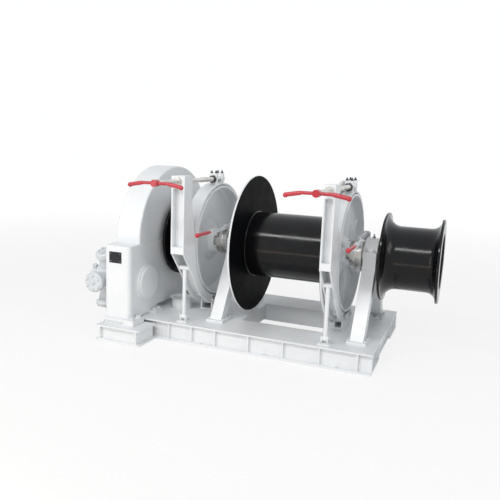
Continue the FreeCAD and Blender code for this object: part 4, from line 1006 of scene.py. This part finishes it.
@dataclass
class Stand(Sided):
    """One bearing stand with its cap."""

    foot_plate: float = 0.020
    foot_depth: float = 0.190
    foot_reach: float = 0.022
    bolts_a_side: int = 3
    inner_bolt_inset: float = 0.030
    bolt_margin: float = 0.033
    lug_rise: float = 0.040
    lug_bolt_inset: float = 0.012
    lug_bolt_spread: float = 0.028
    nipple_sink: float = 0.001
    weld: float = 0.005

    def foot_bolts(self) -> None:
        """Small bolts along both long edges of each foot and two large ones inside the leg."""
        low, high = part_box(self.named("stand"))
        z = low.z + self.foot_plate
        small, large = [], []
        for end in (-1, 1):
            outer = high.y if end > 0 else low.y
            run = self.foot_depth - self.bolt_margin * 2
            for number in range(self.bolts_a_side):
                y = outer - end * (self.bolt_margin + run * number / (self.bolts_a_side - 1))
                small += [(Vector((x, y, z)), ALONG_Z)
                          for x in (low.x + self.foot_reach / 2, high.x - self.foot_reach / 2)]
            y = outer - end * (self.foot_depth - self.inner_bolt_inset)
            large += [(Vector((x, y, z)), ALONG_Z)
                      for x in (low.x + self.foot_reach * 2, high.x - self.foot_reach * 2)]
        piece = joined([FOOT_BOLT.fit(small, seed=41), M20.fit(large, seed=42)])
        SHOP.hand_over(piece, self.named("stand_foot_bolts"), FITTING_PAINT)

    def cap_nuts(self) -> None:
        """Two nuts on each lug of the bearing cap."""
        low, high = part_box(self.named("bearing_cap"))
        x = (low.x + high.x) / 2
        spots = [(Vector((x + step * self.lug_bolt_spread, y, low.z + self.lug_rise)), ALONG_Z)
                 for step in (-1, 1) for y in (low.y + self.lug_bolt_inset, high.y - self.lug_bolt_inset)]
        SHOP.hand_over(M12_NUT.fit(spots, seed=43), self.named("bearing_cap_nuts"), FITTING_PAINT)

    def grease_nipple(self) -> None:
        """The nipple on top of the bearing cap."""
        low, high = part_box(self.named("bearing_cap"))
        top = Vector(((low.x + high.x) / 2, 0.0, high.z - self.nipple_sink))
        body = joined([lathe(NIPPLE_BASE, 6), lathe(NIPPLE_NECK, 16)])
        body.data.transform(Matrix.Translation(top))
        SHOP.hand_over(body, self.named("grease_nipple"), BOLT_STEEL)

    def welds(self) -> None:
        """Beads along the edges of both feet."""
        low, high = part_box(self.named("stand"))
        runs = []
        for y0, y1 in ((low.y, low.y + self.foot_depth), (high.y - self.foot_depth, high.y)):
            for x in (low.x, high.x):
                runs.append((Vector((x, y0, low.z)), Vector((x, y1, low.z))))
            for y in (y0, y1):
                runs.append((Vector((low.x, y, low.z)), Vector((high.x, y, low.z))))
        SHOP.hand_over(weld_run(runs, self.weld), self.named("stand_welds"), WELD_PAINT, smooth=60.0)

    def build(self) -> None:
        """Coat the stand and add its fittings."""
        SHOP.coat_nodes(WHITE_PAINT, map(self.named, ("stand", "bearing_cap", "lever_bracket")))
        self.foot_bolts()
        self.cap_nuts()
        self.grease_nipple()
        self.welds()


# ---- The shaft line ----
@dataclass
class RopeDrum:
    """The drum: black inside its flanges, white on their rims and outer faces."""

    paint_lap: float = 0.004
    weld: float = 0.008

    def flange(self, side: Side) -> None:
        """Paint one flange in its two colours."""
        node = "drum_flange_" + side.value
        low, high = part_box("rope_barrel")
        on_left = side is Side.LEFT
        line = low.x - self.paint_lap if on_left else high.x + self.paint_lap
        SHOP.coat_node(node, FLANGE_PAINT.banded("two_tone_flange_" + side.value, BLACK, line, above=on_left))

    def weld_ring(self, side: Side) -> None:
        """The weld where the barrel meets a flange."""
        low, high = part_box("rope_barrel")
        inner = low.x if side is Side.LEFT else high.x
        middle = centre_of("rope_barrel")
        radius = (high.z - low.z) / 2
        bead = weld_circle((inner, middle.y, middle.z), radius, self.weld, seed=51, tilt=math.pi / 2,
                           segments=128, ragged=0.10)
        SHOP.hand_over(bead, "barrel_weld_" + side.value, BLACK_PAINT, "drum", smooth=60.0)

    def build(self) -> None:
        """Coat the drum and add its welds."""
        SHOP.coat_nodes(BLACK_PAINT, ("rope_barrel",))
        for side in Side:
            self.flange(side)
            self.weld_ring(side)


@dataclass
class ShaftEnds:
    """The shaft, the cable lifter and the warping head."""

    nut_bolt_radius: float = 0.052

    def build(self) -> None:
        """Coat the shaft line and lock the head's nut with three bolts."""
        SHOP.coat_nodes(BLACK_PAINT, ("cable_lifter", "warping_head"))
        SHOP.coat_nodes(SHAFT_STEEL, ("main_shaft", "head_nut"))
        spots = ring(right_face("head_nut"), self.nut_bolt_radius, 3)
        piece = M16.fit([(spot, ALONG_X) for spot in spots], seed=61)
        SHOP.hand_over(piece, "head_nut_bolts", BOLT_STEEL, "shaft")


@dataclass
class Clutch(Sided):
    """One jaw clutch with its hand lever."""

    ball_radius: float = 0.0175
    ball_neck: float = 0.012

    def build(self) -> None:
        """Coat the sleeve and the lever, and end the grip in a ball."""
        SHOP.coat_nodes(SHAFT_STEEL, (self.named("clutch_sleeve"),))
        SHOP.coat_nodes(WHITE_PAINT, (self.named("clutch_lever"),))
        SHOP.coat_nodes(RED_PAINT, (self.named("lever_grip"),))
        low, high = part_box(self.named("lever_grip"))
        end = Vector(((low.x + high.x) / 2, low.y + self.ball_radius * 0.8, (low.z + high.z) / 2))
        ball = ball_end(self.ball_radius, self.ball_neck)
        ball.data.transform(facing(end, -ALONG_Y))
        SHOP.hand_over(ball, self.named("lever_ball"), RED_PAINT, self.named("lever"), smooth=60.0)


# ---- The band brakes ----
@dataclass
class BandBrake(Sided):
    """One band brake: linings, screw thread, nut, collar, studs, pins and handle balls."""

    band_thickness: float = 0.014
    lining_gap: float = 0.0009
    lining_share: float = 0.94
    lining_blocks: int = 4
    block_gap: float = 1.4
    foot_angle: float = 12.0
    top_gap: float = 3.0
    spindle_radius: float = 0.018
    thread_sink: float = 0.0004
    thread_share: float = 0.34
    thread_pitch: float = 0.008
    thread_depth: float = 0.0018
    thread_start: float = 0.31
    nut_across: float = 0.062
    nut_turn: float = 12.0
    nut_play: float = 0.0004
    run_out: float = 0.007
    ball_radius: float = 0.0165
    ball_neck: float = 0.012
    ball_drop: float = 0.0200
    droop: float = 10.0
    pin_spread: float = 0.095
    pin_below_top: float = 0.027
    foot_plate: float = 0.012
    foot_bolt_inset: float = 0.011
    lug_face: float = 0.070
    lug_middle: float = 0.058
    lug_stud_spread: float = 0.019
    collar_across: float = 0.058
    collar_length: float = 0.020
    collar_play: float = 0.001
    collar_turn: float = 20.0

    def middle(self) -> Vector:
        """Where the wheel's middle plane meets the shaft's line."""
        return centre_of(self.named("brake_wheel"))

    def spindle_place(self) -> Vector:
        """A point on the spindle's line, at y = 0."""
        handle = centre_of(self.named("brake_spindle"))
        return Vector((handle.x, 0.0, handle.z))

    def lining_block(self, start: float, sweep: float) -> bpy.types.Object:
        """One block of lining between the wheel and the band.

        Args:
            start: its first end, in degrees from straight down, toward the front.
            sweep: how far it runs.

        Returns:
            The block.
        """
        wheel_low, wheel_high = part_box(self.named("brake_wheel"))
        band_low, band_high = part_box(self.named("front_band"))
        inner = (wheel_high.z - wheel_low.z) / 2 + self.lining_gap
        outer = self.middle().y - band_low.y - self.band_thickness
        width = (band_high.x - band_low.x) * self.lining_share
        middle = self.middle()
        deselect()
        bpy.ops.mesh.primitive_plane_add(size=1.0, location=(middle.x, 0, -(inner + outer) / 2),
                                         rotation=(math.pi / 2, 0, 0))
        block = bpy.context.object
        block.scale = (width, outer - inner, 1)
        block = fresh()
        steps = max(4, round(sweep / 4))
        with editing(block):
            bpy.ops.mesh.spin(steps=steps, angle=math.radians(sweep), center=(0, 0, 0), axis=(-1, 0, 0))
            bpy.ops.mesh.select_all(action="SELECT")
            bpy.ops.mesh.remove_doubles(threshold=0.00001)
            bpy.ops.mesh.fill_holes(sides=4)
            bpy.ops.mesh.normals_make_consistent(inside=False)
        turn = Matrix.Rotation(-math.radians(start), 4, "X")
        block.data.transform(Matrix.Translation((0, middle.y, middle.z)) @ turn)
        return block

    def linings(self) -> None:
        """Blocks of lining all round, with a gap at the top and at the anchor."""
        run = (180.0 - self.foot_angle - self.top_gap) / self.lining_blocks
        blocks = []
        for number in range(self.lining_blocks):
            start, sweep = self.foot_angle + run * number, run - self.block_gap
            blocks += [self.lining_block(start, sweep), self.lining_block(-start - sweep, sweep)]
        SHOP.hand_over(joined(blocks), self.named("brake_lining"), Lining(), smooth=40.0)

    def thread(self) -> None:
        """The screw's thread, from the front lug's run-out to the spindle's back end."""
        length = self.thread_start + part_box(self.named("brake_spindle"))[1].y
        turns = int(length / self.thread_pitch) - 1
        half = self.thread_pitch * self.thread_share
        deselect()
        bpy.ops.mesh.primitive_circle_add(vertices=4, radius=half, fill_type="NOTHING",
                                          location=(self.spindle_radius - self.thread_sink, 0, 0),
                                          rotation=(math.pi / 2, 0, 0))
        ridge = bpy.context.object
        ridge.scale = (self.thread_depth / half, 1, 1)
        ridge = fresh()
        apply_modifier(ridge, "SCREW", angle=math.tau, screw_offset=self.thread_pitch, iterations=turns,
                       steps=20, render_steps=20, axis="Z")
        with editing(ridge):
            bpy.ops.mesh.remove_doubles(threshold=0.000001)
            bpy.ops.mesh.fill_holes(sides=4)
            bpy.ops.mesh.normals_make_consistent(inside=False)
        start = self.spindle_place() - ALONG_Y * self.thread_start
        ridge.data.transform(facing(start, ALONG_Y))
        SHOP.hand_over(ridge, self.named("spindle_thread"), SPINDLE_STEEL, self.named("spindle"),
                       smooth=50.0)

    def spindle_nut(self) -> None:
        """The hexagon nut behind the back band's lug."""
        corner = self.nut_across / math.sqrt(3.0)
        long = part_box(self.named("brake_spindle"))[1].y - self.lug_face - self.run_out
        nut = lathe([(self.nut_play, corner * 0.92), (long * 0.14, corner), (long * 0.86, corner),
                     (long, corner * 0.9)], 6)
        spot = self.spindle_place() + ALONG_Y * self.lug_face
        nut.data.transform(facing(spot, ALONG_Y, math.radians(self.nut_turn)))
        SHOP.hand_over(nut, self.named("spindle_nut"), SPINDLE_STEEL, self.named("spindle"))

    def lock_collar(self) -> None:
        """The dark collar that stops the spindle against the front band's lug."""
        corner = self.collar_across / math.sqrt(3.0)
        long = self.collar_length
        collar = lathe([(0.0, corner * 0.90), (long * 0.12, corner), (long * 0.88, corner),
                        (long, corner * 0.90)], 6)
        spot = self.spindle_place() - ALONG_Y * (self.lug_face + self.collar_play + long)
        collar.data.transform(facing(spot, ALONG_Y, math.radians(self.collar_turn)))
        SHOP.hand_over(collar, self.named("spindle_collar"), DARK_STEEL, self.named("spindle"))

    def lug_studs(self) -> None:
        """Two studs with nuts on top of each band lug."""
        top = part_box(self.named("front_band"))[1].z
        x = self.middle().x
        spots = [(Vector((x + across * self.lug_stud_spread, along * self.lug_middle, top)), ALONG_Z)
                 for across in (-1, 1) for along in (-1, 1)]
        SHOP.hand_over(LUG_STUD.fit(spots, seed=73), self.named("lug_studs"), DARK_STEEL)

    def handle_balls(self) -> None:
        """A ball on each arm of the handle."""
        low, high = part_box(self.named("brake_handle"))
        middle = self.spindle_place()
        droop = math.radians(self.droop)
        hub_y = (low.y + high.y) / 2
        places = []
        for sign in (-1, 1):
            reach = (high.x - low.x) / 2 - self.ball_radius * 0.7
            end = Vector((middle.x + sign * reach, hub_y, middle.z - self.ball_drop))
            places.append(facing(end, Vector((sign * math.cos(droop), 0.0, -math.sin(droop)))))
        balls = copied(ball_end(self.ball_radius, self.ball_neck), places)
        SHOP.hand_over(balls, self.named("handle_balls"), RED_PAINT, self.named("spindle"), smooth=60.0)

    def pins(self) -> None:
        """Washer and bolt on the open end of each anchor pin, and the bolts of the strut's foot."""
        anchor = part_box(self.named("brake_anchor"))[1]
        spots = [(Vector((anchor.x, y, anchor.z - self.pin_below_top)), ALONG_X)
                 for y in (-self.pin_spread, self.pin_spread)]
        SHOP.hand_over(PIN_KEEPER.fit(spots, seed=71), self.named("anchor_pin_keepers"), FITTING_PAINT)
        foot_low, foot_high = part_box(self.named("brake_strut"))
        middle = self.middle().x
        y = (foot_low.y + foot_high.y) / 2
        reach = (foot_high.y - foot_low.y) / 2 - self.foot_bolt_inset
        spots = [(Vector((middle + a * reach, y + b * reach, foot_low.z + self.foot_plate)), ALONG_Z)
                 for a in (-1, 1) for b in (-1, 1)]
        SHOP.hand_over(M10.fit(spots, seed=72), self.named("strut_foot_bolts"), FITTING_PAINT)

    def build(self) -> None:
        """Coat the brake and add its fittings."""
        stems = ("brake_frame", "front_band", "back_band", "brake_anchor", "brake_strut", "brake_wheel")
        SHOP.coat_nodes(WHITE_PAINT, map(self.named, stems))
        SHOP.coat_nodes(SPINDLE_STEEL, (self.named("brake_spindle"),))
        SHOP.coat_nodes(RED_PAINT, (self.named("brake_handle"),))
        self.linings()
        self.thread()
        self.spindle_nut()
        self.lock_collar()
        self.lug_studs()
        self.handle_balls()
        self.pins()


# ---- The studio ----
@dataclass
class Softbox:
    """A soft lamp that looks at one point."""

    name: str
    place: Spot
    target: Spot
    width: float
    height: float
    radiance: float
    color: tuple[float, float, float] = (1.0, 1.0, 1.0)

    def build(self) -> None:
        """Hang the lamp; its power follows from its area, so that its face has one brightness."""
        bpy.ops.object.light_add(type="AREA", location=self.place)
        lamp = bpy.context.object
        lamp.name = self.name
        lamp.data.shape = "RECTANGLE"
        lamp.data.size = self.width
        lamp.data.size_y = self.height
        lamp.data.energy = self.radiance * math.pi * self.width * self.height
        lamp.data.color = self.color
        lamp.visible_camera = False
        aim = Vector(self.target) - Vector(self.place)
        lamp.rotation_euler = aim.to_track_quat("-Z", "Y").to_euler()


@dataclass
class Studio:
    """Floor, backdrop, lamps and camera."""

    eye: Spot = (1.5712, -4.2886, 1.4595)
    yaw: float = 0.3764
    pitch: float = -0.172
    roll: float = 0.0384
    lens: float = 40.87
    sensor: float = 36.0
    world_light: float = 0.50
    floor_half: float = 30.0
    floor_color: Color = (0.80, 0.80, 0.79, 1.0)
    fade_start: float = 3.0
    fade_end: float = 9.0
    near_share: float = 0.80
    backdrop: float = 1.03

    def camera(self) -> None:
        """Set the camera by its eye point and its three turns."""
        bpy.ops.object.camera_add(location=self.eye)
        camera = bpy.context.object
        turn = (Matrix.Rotation(self.yaw, 3, "Z") @ Matrix.Rotation(math.pi / 2 + self.pitch, 3, "X")
                @ Matrix.Rotation(self.roll, 3, "Z"))
        camera.rotation_euler = turn.to_euler()
        camera.data.lens = self.lens
        camera.data.sensor_width = self.sensor
        bpy.context.scene.camera = camera

    def backdrop_rays(self, kit: NodeKit) -> bpy.types.NodeSocket:
        """One for the rays that show the backdrop, straight, mirrored or through glass."""
        rays = kit.add("LightPath").outputs
        shown = kit.work("MAXIMUM", rays["Is Camera Ray"], rays["Is Glossy Ray"])
        return kit.work("MAXIMUM", shown, rays["Is Transmission Ray"])

    def floor(self) -> None:
        """A pale floor that fades into the white backdrop and keeps a soft shadow."""
        bpy.ops.mesh.primitive_plane_add(size=self.floor_half * 2, location=(0, 0, -0.001))
        plane = bpy.context.object
        plane.name = "studio_floor"
        material = bpy.data.materials.new("pale_floor")
        material.use_nodes = True
        kit = NodeKit(material.node_tree)
        shader = material.node_tree.nodes["Principled BSDF"]
        shader.inputs["Base Color"].default_value = self.floor_color
        shader.inputs["Roughness"].default_value = 0.8
        white = kit.add("Emission", {"Color": (1.0, 1.0, 1.0, 1.0), "Strength": 1.0})
        away = kit.add("VectorMath", {0: kit.place()}, operation="LENGTH").outputs["Value"]
        fade = kit.spread(away, self.fade_start, self.fade_end, self.near_share, 1.0)
        share = kit.work("MULTIPLY", fade, self.backdrop_rays(kit))
        blend = kit.add("MixShader", {0: share, 1: shader.outputs[0], 2: white.outputs[0]})
        kit.feed(material.node_tree.nodes["Material Output"].inputs["Surface"], blend.outputs[0])
        plane.data.materials.append(material)

    def world(self) -> None:
        """An even sky that is white to the camera and dimmer as a light."""
        world = bpy.data.worlds.new("studio_world")
        world.use_nodes = True
        bpy.context.scene.world = world
        kit = NodeKit(world.node_tree)
        back = world.node_tree.nodes["Background"]
        kit.feed(back.inputs["Color"], (0.97, 0.985, 1.0, 1.0))
        kit.feed(back.inputs["Strength"],
                 kit.spread(self.backdrop_rays(kit), 0.0, 1.0, self.world_light, self.backdrop))

    def build(self) -> None:
        """Light and frame the winch."""
        middle = tuple((CAD_BOX[0] + CAD_BOX[1]) / 2)
        lamps = (
            Softbox("key_lamp", (-0.8, -4.5, 4.6), middle, 4.8, 0.60, 17.5, (1.0, 0.995, 0.985)),
            Softbox("front_lamp", (-3.2, -5.0, 1.5), middle, 2.2, 2.6, 2.0),
            Softbox("fill_lamp", (4.6, -2.2, 3.2), middle, 2.4, 2.4, 2.9),
            Softbox("low_strip", (-0.4, -2.7, 0.03), (0.2, 0.0, 0.7), 4.0, 0.16, 4.5, (1.0, 0.80, 0.62)),
        )
        for lamp in lamps:
            lamp.build()
        self.floor()
        self.world()
        self.camera()
        bpy.context.scene.view_settings.view_transform = "Standard"


def main() -> None:
    """Build every sub-assembly in order, then the studio."""
    logging.basicConfig(level=logging.INFO, format="%(name)s: %(message)s")
    assemblies = [BaseFrame(), GearCase(), HydraulicMotor()]
    assemblies += [Stand(side) for side in Side]
    assemblies += [RopeDrum(), ShaftEnds()]
    assemblies += [Clutch(side) for side in Side]
    assemblies += [BandBrake(side) for side in Side]
    for assembly in assemblies:
        assembly.build()
        LOG.info("%s is dressed", type(assembly).__name__)
    deselect()
    Studio().build()


if __name__ == "__main__":
    main()
